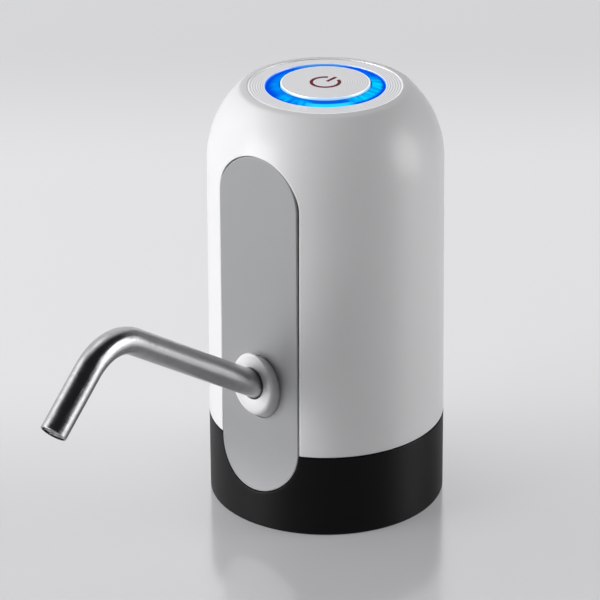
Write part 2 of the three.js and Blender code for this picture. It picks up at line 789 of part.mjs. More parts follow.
function collar() {
  const bore = spoutRadius + spoutClearance;
  return join(
    leaningOval(collarRadius, -collarFront, -panelPlane + collarEdge, bore, collarEdge),
    leaningOval(collarRadius, -panelPlane - collarEdge, -pocketFloor - seatGap, bore),
    leaningOval(collarSpigotRadius, -pocketFloor - gap, -chordBack - seatGap, bore),
  );
}

const oringPlaces = oringShares.map((share) => -share * spoutPlugLength);

// The spout plugs into this inclined socket, and its elbow turns up to the pump's outlet.
function spoutSocket() {
  const face = -chordBack + seatGap;
  const plugEnd = -spoutPlugLength - gap;
  const shoulder = plugEnd - socketShoulder;
  const far = socketRadius * 2;
  const body = fromSpoutFrame(join(
    rod(socketRadius, shoulder, far, [0, 0], smallFacets),
    rod(socketNeckRadius, -socketDepth - socketShoulder, shoulder + weldDepth, [0, 0], smallFacets),
  ));
  const outline = stadium(socketFlangeHeight / 2, -socketFlangeWidth / 2, socketFlangeWidth / 2);
  const flange = solid(
    upright(outline, face, face + socketFlangeThickness)
      .rotateY(Math.PI / 2).translate(0, 0, socketScrewHeight),
  );
  const elbowLow = spoutAxisHeight(pumpAxisY);
  const place = [0, pumpAxisY];
  const elbow = join(
    rod(barbRadius + barbStep, elbowLow, elbowTop - barbLength + weldDepth, place, pipeFacets),
    barb().rotate([180, 0, 0]).translate([0, pumpAxisY, elbowTop]),
  );
  const outside = cut(
    join(body, flange),
    block([-bodyRadius, bodyRadius], [-bodyRadius - far, face], [0, crownHeight]),
  );
  const bores = fromSpoutFrame(join(
    rod(spoutRadius + socketBoreClearance, plugEnd, far, [0, 0], smallFacets),
    rod(waterBoreRadius, -socketDepth, plugEnd + weldDepth),
    ...oringPlaces.map((middle) => {
      const half = oringSection / 2 + seatGap;
      const groove = spoutRadius + oringClearance + oringSection + seatGap;
      return rod(groove, middle - half, middle + half, [0, 0], smallFacets);
    }),
  ));
  return cut(
    join(outside, elbow),
    bores,
    rod(waterBoreRadius, elbowLow, elbowTop + overrun, place),
    ...socketScrewHoles(smallScrewRadius + seatGap, face - overrun, face + socketFlangeThickness + overrun),
  );
}

function oring(middle) {
  const centre = spoutRadius + oringClearance + oringSection / 2;
  const section = around(oringFacets, (angle) => [
    centre + (oringSection / 2) * Math.cos(angle),
    middle + (oringSection / 2) * Math.sin(angle),
  ]);
  return turned(section, smallFacets);
}

function outlet() {
  const path = spoutPath();
  const tubeShape = circleShape(spoutRadius, spoutRadius - spoutWall);
  node("spout_tube", swept(tubeShape, path, path.points.length - 1, spoutFacets), steel, spoutFrame);
  const mouth = new THREE.Group();
  mouth.position.copy(path.points[path.points.length - 1]);
  mouth.rotation.x = spoutRise + spoutFall;
  spoutFrame.add(mouth);
  node("spout_screen", spoutScreen(), steel, mouth);
  ["outer", "inner"].forEach((place, i) =>
    node(`spout_oring_${place}`, oring(oringPlaces[i]), darkRubber, spoutFrame));
  node("outlet_collar", collar(), whitePlastic);
  node("spout_socket", spoutSocket(), naturalPlastic);
  const headPlane = -chordBack + seatGap + socketFlangeThickness + seatGap;
  const shank = socketFlangeThickness + wall;
  const socketScrew = screw(smallScrewRadius, smallScrewHeadRadius, smallScrewHeadHeight, shank);
  socketScrewSides.forEach((side) => {
    const mesh = node(`socket_screw_${side < 0 ? "left" : "right"}`, socketScrew, steel);
    mesh.position.set(side * socketScrewX, headPlane, socketScrewHeight);
    mesh.rotation.x = Math.PI / 2;
  });
}

// Water path

function waterPath() {
  const flangeTop = deckBottom - seatGap;
  const flangeBottom = flangeTop - inletFlangeThickness;
  const threadTop = deckTop + seatGap + inletNutHeight + 2 * gap;
  const bore = rod(waterBoreRadius, flangeBottom - inletDrop - overrun, threadTop + barbLength + overrun);
  const fitting = join(
    barb().translate([0, 0, flangeBottom - barbLength]),
    rod(barbRadius, flangeBottom - inletDrop, flangeBottom - barbLength + weldDepth),
    washer(waterBoreRadius / 2, inletFlangeRadius, flangeBottom - seatGap, flangeTop),
    rod(inletThreadRadius, flangeTop - weldDepth, threadTop, [0, 0], smallFacets),
    barb().rotate([180, 0, 0]).translate([0, 0, threadTop + barbLength]),
  );
  node("inlet_fitting", cut(fitting, bore), naturalPlastic);
  const nutBottom = deckTop + seatGap;
  const nutTop = nutBottom + inletNutHeight;
  const nut = cut(
    rod(inletNutRadius, nutBottom, nutTop, [0, 0], nutSides),
    rod(inletThreadRadius + gap, nutBottom - overrun, nutTop + overrun, [0, 0], smallFacets),
  );
  node("inlet_nut", nut, naturalPlastic);
  const inletY = pumpAxisY + inletPortOffset;
  const low = threadTop + gap;
  const high = pumpBottom - gap;
  const inletHose = flexible(
    [[0, 0, low], [0, 0, low + barbLength], [0, inletY, high - barbLength], [0, inletY, high]],
    hoseRadius, hoseBore, pipeFacets, pipeFacets,
  );
  node("inlet_hose", inletHose, silicone);
  const outletHose = washer(
    hoseBore, hoseRadius, elbowTop - barbLength + outletHoseStandOff, high, pipeFacets);
  node("outlet_hose", outletHose.translate([0, pumpAxisY, 0]), silicone);
}

// Top

function topPlate() {
  const inner = lightOuterRadius + gap;
  const outer = topOpeningRadius - gap;
  return turned(
    [[inner, plateTop - plateThickness], [outer, plateTop - plateThickness],
      [outer, plateTop - seatGap], [outer - seatGap, plateTop], [inner, plateTop + plateCone]],
    bodyFacets,
  );
}

function lightRing() {
  const inner = buttonRadius + gap;
  const outerTop = plateTop - seatGap;
  const middle = (inner + lightOuterRadius) / 2;
  return turned(
    [[inner, lightBottom], [lightOuterRadius + lightFoot, lightBottom],
      [lightOuterRadius + lightFoot, lightFootTop], [lightOuterRadius, lightFootTop],
      [lightOuterRadius, outerTop], [middle, outerTop + lightRise * lightMiddleShare],
      [inner, outerTop + lightRise]],
    ringFacets,
  );
}

function buttonFrame() {
  const ledgeInner = frameBore - frameLedge;
  const skirtBore = buttonBoardRadius + gap;
  const skirtOuter = skirtBore + frameSkirtWall;
  const skirtBottom = buttonBoardBottom - seatGap - frameHookHeight;
  const flangeTop = underShoulder(frameFlangeRadius) - gap;
  const flangeBottom = flangeTop - frameFlangeThickness;
  const outer = topOpeningRadius - gap;
  const ring = turned(
    [[ledgeInner, ledgeBottom], [skirtBore, ledgeBottom], [skirtBore, skirtBottom],
      [skirtOuter, skirtBottom], [skirtOuter, flangeBottom], [frameFlangeRadius, flangeBottom],
      [frameFlangeRadius, flangeTop], [outer, flangeTop], [outer, frameTop], [frameBore, frameTop],
      [frameBore, ledgeTop], [ledgeInner, ledgeTop]],
    ringFacets,
  );
  const hook = block(
    [skirtBore - 2 * gap, skirtBore + weldDepth],
    [-frameHookWidth / 2, frameHookWidth / 2],
    [skirtBottom, skirtBottom + frameHookHeight],
  );
  return join(ring, ...around(frameHookCount, (angle) => turnAboutZ(hook, angle)));
}

function top() {
  node("top_plate", topPlate(), plate);
  node("light_ring", lightRing(), blueLight);
  node("button_frame", buttonFrame(), whitePlastic);
  const cap = turned(
    [[0, buttonTop - buttonCapThickness], [buttonRadius, buttonTop - buttonCapThickness],
      [buttonRadius, buttonTop - buttonEdge], [buttonRadius - buttonEdge, buttonTop], [0, buttonTop]],
    ringFacets,
  );
  node("power_button", cap, plate);
  const skirtOuter = buttonRadius - seatGap;
  const carrier = turned(
    [[0, carrierBottom], [skirtOuter - carrierWall, carrierBottom],
      [skirtOuter - carrierWall, carrierFoot], [skirtOuter, carrierFoot],
      [skirtOuter, carrierTop], [0, carrierTop]],
    ringFacets,
  );
  const lug = block(
    [skirtOuter - carrierWall / 2, skirtOuter + carrierLugReach],
    [-carrierLugWidth / 2, carrierLugWidth / 2],
    [carrierFoot, carrierFoot + carrierLugHeight],
  );
  const lugs = around(ledCount, (angle) => turnAboutZ(lug, angle));
  node("button_carrier", join(carrier, ...lugs), whitePlastic);
  const plungerHole = rod(
    plungerRadius + gap, plungerTop - plungerLength - buttonTravel - gap, switchTop + overrun);
  const half = switchSize / 2;
  const switchBody = cut(block([-half, half], [-half, half], [switchBottom, switchTop]), plungerHole);
  node("tact_switch", switchBody, blackPlastic);
  node("switch_plunger", rod(plungerRadius, plungerTop - plungerLength, plungerTop), blackPlastic);
  const board = rod(buttonBoardRadius, buttonBoardBottom, buttonBoardTop, [0, 0], ringFacets);
  node("button_board", board, boardGreen);
  const led = block(
    [-ledSize / 2, ledSize / 2], [-ledSize / 2, ledSize / 2], [seatGap, seatGap + ledHeight]);
  around(ledCount, (angle) => angle + Math.PI / ledCount).forEach((angle, i) => {
    const mesh = node(`led_${i + 1}`, led, ledYellow);
    mesh.position.set(ledCircle * Math.cos(angle), ledCircle * Math.sin(angle), buttonBoardTop);
    mesh.rotation.z = angle;
  });
}

// Diaphragm pump. Its pieces are drawn about the pump's own axis, and this group places them.
const pumpFrame = new THREE.Group();
pumpFrame.position.set(0, pumpAxisY, 0);
part.add(pumpFrame);

const cupAngles = around(cupCount, (angle) => angle + Math.PI / 2);
const pumpScrewAngles = around(pumpScrewCount, (angle) => angle - Math.PI / 2);
const onCircle = (radius, angle) => [radius * Math.cos(angle), radius * Math.sin(angle)];
const pumpScrewHoles = (low, high) =>
  pumpScrewAngles.map((angle) =>
    rod(smallScrewRadius + seatGap, low, high, onCircle(pumpScrewCircle, angle)));
const valveHoles = (low, high) =>
  cupAngles.flatMap((angle) =>
    [outletValveCircle, inletValveCircle].map((circle) =>
      rod(valveHoleRadius, low, high, onCircle(circle, angle))));
// How far the tilted plate lifts the top of the cup at an angle.
const lift = (angle) => -cupCircle * Math.sin(angle) * Math.tan(wobbleTilt);

function pumpHead() {
  const pocket = headTop - headPocketDepth;
  const ports = [0, inletPortOffset].map((y) => barb().translate([0, y, pumpBottom - barbLength]));
  const bores = [0, inletPortOffset].map((y) =>
    rod(waterBoreRadius, pumpBottom - barbLength - overrun, pocket + weldDepth, [0, y]));
  return cut(
    join(rod(pumpRadius, pumpBottom, headTop, [0, 0], ringFacets), ...ports),
    rod(outletPocketRadius, pocket, headTop + overrun, [0, 0], smallFacets),
    washer(inletPocketInner, inletPocketOuter, pocket, headTop + overrun),
    ...bores,
    ...pumpScrewHoles(pumpBottom - overrun, headTop + overrun),
  );
}

function valveSheet() {
  const top = valveSheetBottom + valveSheetThickness;
  return cut(
    rod(pumpRadius, valveSheetBottom, top, [0, 0], ringFacets),
    ...valveHoles(valveSheetBottom - overrun, top + overrun),
    ...pumpScrewHoles(valveSheetBottom - overrun, top + overrun),
  );
}

function chamberPlate() {
  const chambers = cupAngles.map((angle) =>
    rod(cupRadius, chamberTop - chamberDepth, chamberTop + overrun, onCircle(cupCircle, angle)));
  return cut(
    rod(pumpRadius, chamberBottom, chamberTop, [0, 0], ringFacets),
    ...chambers,
    ...valveHoles(chamberBottom - overrun, chamberTop + overrun),
    ...pumpScrewHoles(chamberBottom - overrun, chamberTop + overrun),
  );
}

// One rubber cup, its neck and the head that buttons it into the wobble plate.
function cup(angle) {
  const place = onCircle(cupCircle, angle);
  const top = cupTop + lift(angle);
  const headBottom = wobbleHeight + wobbleThickness / 2 + lift(angle) + 2 * gap;
  return join(
    rod(cupRadius, diaphragmTop - weldDepth, top, place),
    rod(cupNeckRadius, top - weldDepth, headBottom + weldDepth, place),
    rod(cupHeadRadius, headBottom, headBottom + cupHeadHeight, place),
  );
}

function diaphragm() {
  const hollows = cupAngles.map((angle) =>
    rod(cupRadius - cupWall, diaphragmBottom - overrun, cupTop + lift(angle) - cupWall,
      onCircle(cupCircle, angle)));
  return cut(
    join(rod(pumpRadius, diaphragmBottom, diaphragmTop, [0, 0], ringFacets), ...cupAngles.map(cup)),
    ...hollows,
    ...pumpScrewHoles(diaphragmBottom - overrun, diaphragmTop + overrun),
  );
}

// The plate that rocks the cups, drawn flat about its centre and tilted by its group.
function wobblePlate() {
  const half = wobbleThickness / 2;
  const arm = join(
    block([0, cupCircle], [-wobbleArmRadius / 2, wobbleArmRadius / 2], [-half, half]),
    rod(wobbleArmRadius, -half, half, [cupCircle, 0]),
  );
  const neckHole = rod(cupNeckRadius + 2 * gap, -half - overrun, half + overrun, [cupCircle, 0]);
  return cut(
    join(rod(wobbleHubRadius, -half, wobbleHubHeight), ...cupAngles.map((angle) => turnAboutZ(arm, angle))),
    ...cupAngles.map((angle) => turnAboutZ(neckHole, angle)),
    rod(crankPinRadius + gap, -half - overrun, wobbleHubHeight + overrun),
  );
}

// The crank turns with the motor's shaft, and its leaning pin rocks the wobble plate.
function crank() {
  const lean = (made) =>
    made.rotate([-THREE.MathUtils.radToDeg(wobbleTilt), 0, 0]).translate([0, 0, wobbleHeight]);
  const pinTop = (crankBottom + crankHeight / 2 - wobbleHeight) / Math.cos(wobbleTilt);
  return cut(
    join(
      rod(crankRadius, crankBottom, crankTop, [0, 0], smallFacets),
      lean(rod(crankPinRadius, -wobbleThickness / 2, pinTop)),
    ),
    rod(shaftRadius + seatGap, crankTop - crankHeight / 2, crankTop + overrun),
  );
}

function pumpHousing() {
  const inside = pumpRadius - housingWall;
  const cup = turned(
    [[motorBossRadius + gap, housingTop - housingFloor], [inside, housingTop - housingFloor],
      [inside, housingBottom], [pumpRadius, housingBottom], [pumpRadius, housingTop],
      [motorBossRadius + gap, housingTop]],
    ringFacets,
  );
  const bossTop = housingBottom + pumpScrewLength / 2;
  const bosses = pumpScrewAngles.map((angle) =>
    rod(pumpScrewBoss, housingBottom, bossTop, onCircle(pumpScrewCircle, angle)));
  return cut(join(cup, ...bosses), ...pumpScrewHoles(housingBottom - overrun, bossTop + overrun));
}

function pump() {
  node("pump_head", pumpHead(), blackPlastic, pumpFrame);
  node("valve_sheet", valveSheet(), silicone, pumpFrame);
  node("chamber_plate", chamberPlate(), naturalPlastic, pumpFrame);
  node("diaphragm", diaphragm(), darkRubber, pumpFrame);
  node("crank", crank(), naturalPlastic, pumpFrame);
  node("pump_housing", pumpHousing(), blackPlastic, pumpFrame);
  const tilted = new THREE.Group();
  tilted.position.z = wobbleHeight;
  tilted.rotation.x = -wobbleTilt;
  pumpFrame.add(tilted);
  node("wobble_plate", wobblePlate(), naturalPlastic, tilted);
  const pumpScrew = screw(smallScrewRadius, smallScrewHeadRadius, smallScrewHeadHeight, pumpScrewLength);
  pumpScrewAngles.forEach((angle, i) => {
    const mesh = node(`pump_screw_${i + 1}`, pumpScrew, steel, pumpFrame);
    mesh.position.set(...onCircle(pumpScrewCircle, angle), pumpBottom - seatGap);
  });
}

// Motor, on the pump's axis

function motorCan() {
  const boss = motorBottom - housingFloor;
  const bearing = shaftRadius + gap;
  const inside = motorRadius - motorWall;
  return turned(
    [[bearing, boss], [motorBossRadius, boss], [motorBossRadius, motorBottom], [motorRadius, motorBottom],
      [motorRadius, motorTop], [inside, motorTop], [inside, motorBottom + motorWall],
      [bearing, motorBottom + motorWall]],
    ringFacets,
  );
}

// Shaft, laminated poles, windings and commutator of the armature, as they turn together.
function rotor() {
  const middle = (motorBottom + motorTop) / 2 - commutatorLength / 2;
  const half = (armatureLengthShare * motorLength) / 2;
  const stack = [middle - half, middle + half];
  const coil = [stack[0] - windingOverhang, stack[1] + windingOverhang];
  const tip = motorRadius - motorWall - gap - magnetThickness - airGap;
  const shoeInner = tip - poleShoeThickness;
  const pole = join(
    block([0, shoeInner + weldDepth], [-poleArmWidth / 2, poleArmWidth / 2], stack),
    block([coreRadius, shoeInner - seatGap], [-windingWidth / 2, windingWidth / 2], coil),
    raised(sector(shoeInner, tip, poleShoeSweepShare * 2 * Math.PI), ...stack, poleFacets),
  );
  return join(
    rod(shaftRadius, crankTop - crankHeight / 2 + seatGap, motorTop + endCapHeight / 2),
    rod(coreRadius + weldDepth, ...coil),
    rod(commutatorRadius, coil[1] - weldDepth, coil[1] + commutatorLength),
    ...around(poleCount, (angle) => turnAboutZ(pole, angle)),
  );
}

function endCap() {
  const low = motorTop + seatGap;
  const high = low + endCapHeight;
  const bearing = shaftRadius + gap;
  return turned(
    [[0, high], [endCapBossRadius, high], [endCapBossRadius, high - motorWall],
      [motorRadius, high - motorWall], [motorRadius, low], [bearing, low],
      [bearing, high - motorWall], [0, high - motorWall]].reverse(),
    ringFacets,
  );
}

function motor() {
  node("motor_can", motorCan(), steel, pumpFrame);
  node("motor_rotor", rotor(), copper, pumpFrame);
  node("motor_end_cap", endCap(), whitePlastic, pumpFrame);
  const outer = motorRadius - motorWall - gap;
  const half = (magnetLengthShare * motorLength) / 2;
  const middle = (motorBottom + motorTop) / 2 - commutatorLength / 2;
  const magnet = raised(
    sector(outer - magnetThickness, outer, magnetSweepShare * 2 * Math.PI),
    middle - half, middle + half, magnetFacets);
  ["right", "left"].forEach((side, i) => {
    const mesh = node(`motor_magnet_${side}`, magnet, magnetGrey, pumpFrame);
    mesh.rotation.z = i * Math.PI;
  });
}

// Battery, chassis and electronics

function battery() {
  const cell = turned(
    [[0, batteryBottom], [batteryRadius - edgeBreak, batteryBottom],
      [batteryRadius, batteryBottom + edgeBreak], [batteryRadius, batteryTop - edgeBreak],
      [batteryRadius - edgeBreak, batteryTop], [batteryCapRadius, batteryTop],
      [batteryCapRadius, batteryTop + batteryCapHeight], [0, batteryTop + batteryCapHeight]],
    smallFacets,
  );
  node("battery_cell", cell.translate([0, batteryAxisY, 0]), wrapBlue);
}

// One moulding: foot on the deck, web, trough for the battery, clamps for the motor.
function chassis() {
  const arm = (side) =>
    block([footArmInner, footArmOuter].map((x) => side * x).sort((a, b) => a - b),
      [-footHalfLength, footHalfLength], [footBottom, footTop]);
  const bar = block([-footArmOuter, footArmOuter], [footBarFront, footHalfLength], [footBottom, footTop]);
  const floorTop = batteryBottom - seatGap;
  const floorBottom = floorTop - chassisWall;
  const web = join(
    block([-webNeckHalfWidth, webNeckHalfWidth], [webFront, webBack], [footTop - weldDepth, webTop]),
    block([-webHalfWidth, webHalfWidth], [webFront, webBack], [floorBottom, webTop]),
  );
  const troughTop = batteryBottom + troughHeightShare * batteryLength;
  const trough = cut(
    washer(troughRadius, troughRadius + chassisWall, floorBottom, troughTop).translate([0, batteryAxisY, 0]),
    block([-bodyRadius, bodyRadius], [batteryAxisY, bodyRadius], [0, crownHeight]),
  );
  const floor = rod(batteryRadius, floorBottom, floorTop, [0, batteryAxisY], smallFacets);
  const floorNeck = block([-batteryRadius, batteryRadius], [webFront, batteryAxisY], [floorBottom, floorTop]);
  const clampInner = motorRadius + gap;
  const clamps = clampShares.map((share) => {
    const low = motorBottom + share * motorLength;
    const ring = washer(clampInner, clampInner + chassisWall, low, low + clampHeight, ringFacets);
    const rib = block(
      [-clampRibHalfWidth, clampRibHalfWidth],
      [pumpAxisY + clampInner + weldDepth, webFront + weldDepth],
      [low, low + clampHeight],
    );
    return join(ring.translate([0, pumpAxisY, 0]), rib);
  });
  const postTop = controlBoardBottom - seatGap;
  const posts = [-boardScrewX, boardScrewX].map((x) =>
    rod(boardPostRadius, footTop - weldDepth, postTop, [x, boardScrewY]));
  const postFeet = block(
    [-footArmInner - weldDepth, footArmInner + weldDepth],
    [footHalfLength - weldDepth, boardScrewY + boardPostRadius], [footBottom, footTop]);
  const postHoles = [-boardScrewX, boardScrewX].map((x) =>
    rod(smallScrewRadius + seatGap, footBottom + seatGap, postTop + overrun, [x, boardScrewY]));
  const screwHoles = columnAngles.map((angle) =>
    rod(screwRadius + gap, footBottom - overrun, footTop + overrun, columnPlace(angle)));
  const slotPitch = (webTop - batteryBottom) / slotCount;
  const slots = Array.from({ length: slotCount }, (_, i) => {
    const middle = batteryBottom + slotPitch * (i + 0.5);
    const side = webHalfWidth - slotHalfWidth - chassisWall;
    return [-side, side].map((x) =>
      solid(upright(stadium(slotHalfWidth, middle - slotLength / 2, middle + slotLength / 2),
        webFront - overrun, webBack + overrun).translate(x, 0, 0)));
  }).flat();
  const leadHole = rod(leadRadius + 2 * gap, floorBottom - overrun, floorTop + overrun, [0, batteryAxisY]);
  return cut(
    join(arm(-1), arm(1), bar, web, trough, floor, floorNeck, ...clamps, postFeet, ...posts),
    ...postHoles, ...screwHoles, ...slots, leadHole,
  );
}

function chargingPort() {
  const back = portMouth - portDepth;
  const shell = cut(
    portBody(0, back, portMouth),
    portBody(-portSkin, back + portSkin, portMouth + overrun),
  );
  const tongue = block(
    [-portTongueWidth / 2, portTongueWidth / 2],
    [back, portMouth - portRecess],
    [portCentreZ - portTongueThickness / 2, portCentreZ + portTongueThickness / 2],
  );
  return join(shell, tongue);
}

function electronics() {
  const boardHoleRadius = smallScrewRadius + seatGap;
  node("chassis", chassis(), naturalPlastic);
  const holes = [-boardScrewX, boardScrewX].map((x) =>
    rod(boardHoleRadius, controlBoardBottom - overrun, controlBoardTop + overrun, [x, boardScrewY]));
  const board = block(
    [-controlBoardHalfWidth, controlBoardHalfWidth],
    [controlBoardFront, controlBoardRear],
    [controlBoardBottom, controlBoardTop],
  );
  node("control_board", cut(board, ...holes), boardGreen);
  const chipBottom = controlBoardTop + seatGap;
  const chip = block(
    [-chipLength / 2, chipLength / 2], [chipY - chipWidth / 2, chipY + chipWidth / 2],
    [chipBottom, chipBottom + chipHeight]);
  node("control_chip", chip, blackPlastic);
  node("charging_port", chargingPort(), steel);
  const shank = controlBoardTop + seatGap - footTop;
  const boardScrew = screw(smallScrewRadius, smallScrewHeadRadius, smallScrewHeadHeight, shank);
  ["left", "right"].forEach((side, i) => {
    const mesh = node(`board_screw_${side}`, boardScrew, steel);
    mesh.position.set(i ? boardScrewX : -boardScrewX, boardScrewY, controlBoardTop + seatGap);
    mesh.rotation.x = Math.PI;
  });
}

// Leads. Each one goes down beside the chassis, passes its neck and ends on the control board.
function leads() {
  const boardEnd = controlBoardTop + gap;
  const laneX = motorRadius + chassisWall + leadPitch;
  const laneY = webFront - 3 * leadPitch;
  const passHigh = batteryBottom - chassisWall - leadPitch;
  const landing = controlBoardFront + leadPitch;
  const lead = (name, points, material) =>
    node(name, flexible(points, leadRadius, 0, leadSides, leadSteps), material);
  const descent = (side, lane) => {
    const down = side * (laneX + lane * leadPitch);
    const beside = side * (corridorX + (lane - 0.5) * leadPitch);
    const land = side * (lane + 1) * leadPitch;
    const pass = passHigh - lane * leadPitch;
    return [
      [down, laneY, motorTop + leadLength],
      [down, laneY, motorTop - leadLength],
      [down, laneY, batteryBottom + 2 * leadLength - lane * leadPitch],
      [beside, webFront - leadPitch, pass],
      [beside, webBack + leadPitch, pass - leadLength],
      [land, landing, boardEnd + leadLength],
      [land, landing, boardEnd],
    ];
  };
  const terminal = endCapBossRadius + 2 * leadRadius;
  const capTop = motorTop + seatGap + endCapHeight - motorWall + gap;
  const over = capTop + 2 * leadLength;
  lead("motor_lead_black", [
    [terminal, pumpAxisY, capTop],
    [terminal, pumpAxisY, capTop + leadLength],
    [laneX - leadPitch, pumpAxisY / 2, over],
    ...descent(1, 1),
  ], blackLead);
  lead("motor_lead_red", [
    [-terminal, pumpAxisY, capTop],
    [-terminal, pumpAxisY, capTop + leadLength],
    [leadPitch, -leadPitch, over + leadPitch],
    [laneX - 2 * leadPitch, leadPitch, over],
    ...descent(1, 0),
  ], redLead);
  const cellTop = batteryTop + batteryCapHeight + gap;
  lead("battery_lead_top", [
    [0, batteryAxisY, cellTop],
    [0, batteryAxisY, cellTop + leadLength],
    [-laneX / 2, (batteryAxisY + laneY) / 2, cellTop + 2 * leadLength],
    ...descent(-1, 0),
  ], redLead);
  const cellEnd = batteryBottom - gap;
  const besideChip = -chipLength / 2 - 2 * leadPitch;
  lead("battery_lead_bottom", [
    [0, batteryAxisY, cellEnd],
    [0, batteryAxisY, cellEnd - 2 * leadLength],
    [besideChip, batteryAxisY, boardEnd + leadLength],
    [besideChip, batteryAxisY, boardEnd],
  ], blackLead);
  lead("button_cable", [
    [-laneX - leadPitch, laneY, buttonBoardBottom - gap],
    ...descent(-1, 1),
  ], whiteLead);
}

housing();
bottleSocket();
outlet();
waterPath();
top();
pump();
motor();
battery();
electronics();
leads();

export default part;
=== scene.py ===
# %% [markdown]
# # Electric water jug pump
# A small pump that sits on the neck of a water bottle. It has a white domed shell, a black base,
# a grey panel let into the front, a bent steel spout and a lit button on top. The CAD model gives
# the main sizes. This lesson makes the fine surfaces and the finishes, one piece at a time.

import math

import bpy
from mathutils import Matrix, Vector


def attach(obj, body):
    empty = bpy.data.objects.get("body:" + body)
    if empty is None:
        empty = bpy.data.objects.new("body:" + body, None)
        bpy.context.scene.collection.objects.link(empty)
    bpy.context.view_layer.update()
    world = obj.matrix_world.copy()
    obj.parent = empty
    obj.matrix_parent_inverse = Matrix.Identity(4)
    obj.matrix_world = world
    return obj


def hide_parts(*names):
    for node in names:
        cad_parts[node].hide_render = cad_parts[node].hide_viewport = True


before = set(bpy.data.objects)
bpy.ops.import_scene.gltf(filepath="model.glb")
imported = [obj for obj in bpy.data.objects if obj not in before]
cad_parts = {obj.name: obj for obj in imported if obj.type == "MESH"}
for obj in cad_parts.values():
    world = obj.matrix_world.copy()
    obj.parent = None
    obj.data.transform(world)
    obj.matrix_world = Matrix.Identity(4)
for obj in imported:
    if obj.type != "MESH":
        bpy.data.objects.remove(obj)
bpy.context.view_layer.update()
mm = 0.001

# %% [markdown]
# ## Camera
# The camera stands a little over a metre away, above the pump and to its right, with a long lens, so that
# upright edges lean together only slightly. It is made first, so that each later step can be seen through it.
# How far round the pump it stands is kept, to place the lamps by.

# %% Camera
scene = bpy.context.scene
camera_data = bpy.data.cameras.new("camera")
camera_data.sensor_width = 36
camera_data.lens = 219.3
camera = bpy.data.objects.new("camera", camera_data)
scene.collection.objects.link(camera)
camera_place = Vector((613.5, -806.7, 518.9)) * mm
camera_aim = Vector((-6.28, -4.85, 62.0)) * mm
camera_roll = math.radians(-0.37)
camera_side = math.radians(37.7)
look = (camera_aim - camera_place).to_track_quat("-Z", "Y")
camera.matrix_world = (
    Matrix.Translation(camera_place) @ look.to_matrix().to_4x4() @ Matrix.Rotation(camera_roll, 4, "Z")
)
scene.camera = camera
scene.view_settings.view_transform = "Standard"
print(f"camera: {camera_place.length:.2f} m away, {camera_data.lens:.0f} mm lens")

# %% [markdown]
# ## A class for shader sums
# Many finishes are sums of simple masks. A small class wraps a socket, so that a sum is written
# as plain Python and each operator adds one Math node.


# %% Shader sums
class Value:
    """A shader socket that takes part in sums."""

    def __init__(self, nodes, socket):
        self.nodes = nodes
        self.socket = socket

    def math(self, operation, *others):
        return self.nodes.node("ShaderNodeMath", {"operation": operation}, dict(enumerate((self, *others))))

    def __add__(self, other):
        return self.math("ADD", other)

    def __mul__(self, other):
        return self.math("MULTIPLY", other)

    __radd__ = __add__
    __rmul__ = __mul__

    def __sub__(self, other):
        return self.math("SUBTRACT", other)

    def __rsub__(self, other):
        return (self * -1) + other

    def __truediv__(self, other):
        return self.math("DIVIDE", other)

    def ramp(self, low, high):
        """0 up to low, 1 from high on, with a smooth rise between."""
        sockets = {"Value": self, "From Min": low, "From Max": high}
        return self.nodes.node("ShaderNodeMapRange", {"interpolation_type": "SMOOTHSTEP"}, sockets, "Result")

    def near(self, place, width):
        """1 at a place, falling to 0 a width away on both sides."""
        return (self - place).math("ABSOLUTE").ramp(width, 0)


# %% [markdown]
# ## Classes for node trees and finishes
# Clicking nodes together by hand would hide what a finish is made of. Here one method adds any
# node, and a finish is a material whose shader is fed by name. A pattern reads the place on the
# piece in the object's own coordinates, so it stays on the piece when that moves.


# %% Node trees and finishes
class Nodes:
    """A node tree in which each node comes from one method."""

    def __init__(self, tree):
        self.tree = tree

    def feed(self, socket, value):
        if isinstance(value, Value):
            self.tree.links.new(value.socket, socket)
        elif socket.type == "RGBA" and len(value) == 3:
            socket.default_value = (*value, 1)
        else:
            socket.default_value = value

    def node(self, kind, settings, sockets, output=0):
        made = self.tree.nodes.new(kind)
        for name, value in settings.items():
            setattr(made, name, value)
        for name, value in sockets.items():
            self.feed(made.inputs[name], value)
        return Value(self, made.outputs[output])

    def mix(self, share, first, second):
        """The first colour where share is 0 and the second where it is 1."""
        return self.node("ShaderNodeMix", {"data_type": "RGBA"}, {0: share, 6: first, 7: second}, 2)


class Finish(Nodes):
    """A material with one Principled shader, built up from nodes."""

    def __init__(self, name, **surface):
        self.material = bpy.data.materials.new(name)
        self.material.use_nodes = True
        super().__init__(self.material.node_tree)
        self.shader = self.tree.nodes["Principled BSDF"]
        for socket, value in surface.items():
            self.set(socket.replace("_", " ").title().replace("Ior", "IOR"), value)
        self.place = self.node("ShaderNodeTexCoord", {}, {}, "Object")
        print("finish:", name)

    def set(self, socket, value):
        self.feed(self.shader.inputs[socket], value)

    def noise(self, scale, detail=2, place=None):
        sockets = {"Vector": place or self.place, "Scale": scale, "Detail": detail}
        return self.node("ShaderNodeTexNoise", {}, sockets, "Fac")

    def bump(self, height, depth, strength=1.0):
        sockets = {"Height": height, "Distance": depth, "Strength": strength}
        self.set("Normal", self.node("ShaderNodeBump", {}, sockets, "Normal"))

    def axes(self, place=None):
        """The three parts of a place, by default the place on the piece in metres."""
        split = self.node("ShaderNodeSeparateXYZ", {}, {0: place or self.place})
        return [Value(self, output) for output in split.socket.node.outputs]

    def radius(self):
        """Distance from the body's upright axis, in metres."""
        x, y, _ = self.axes()
        return (x * x + y * y).math("SQRT")


# %% [markdown]
# ## White shell finish
# The shell is glossy white ABS. The real surface isn't a perfect mirror: the mould leaves a faint
# waviness, and handling leaves the gloss a little uneven. A low bump and a small change of
# roughness give both.

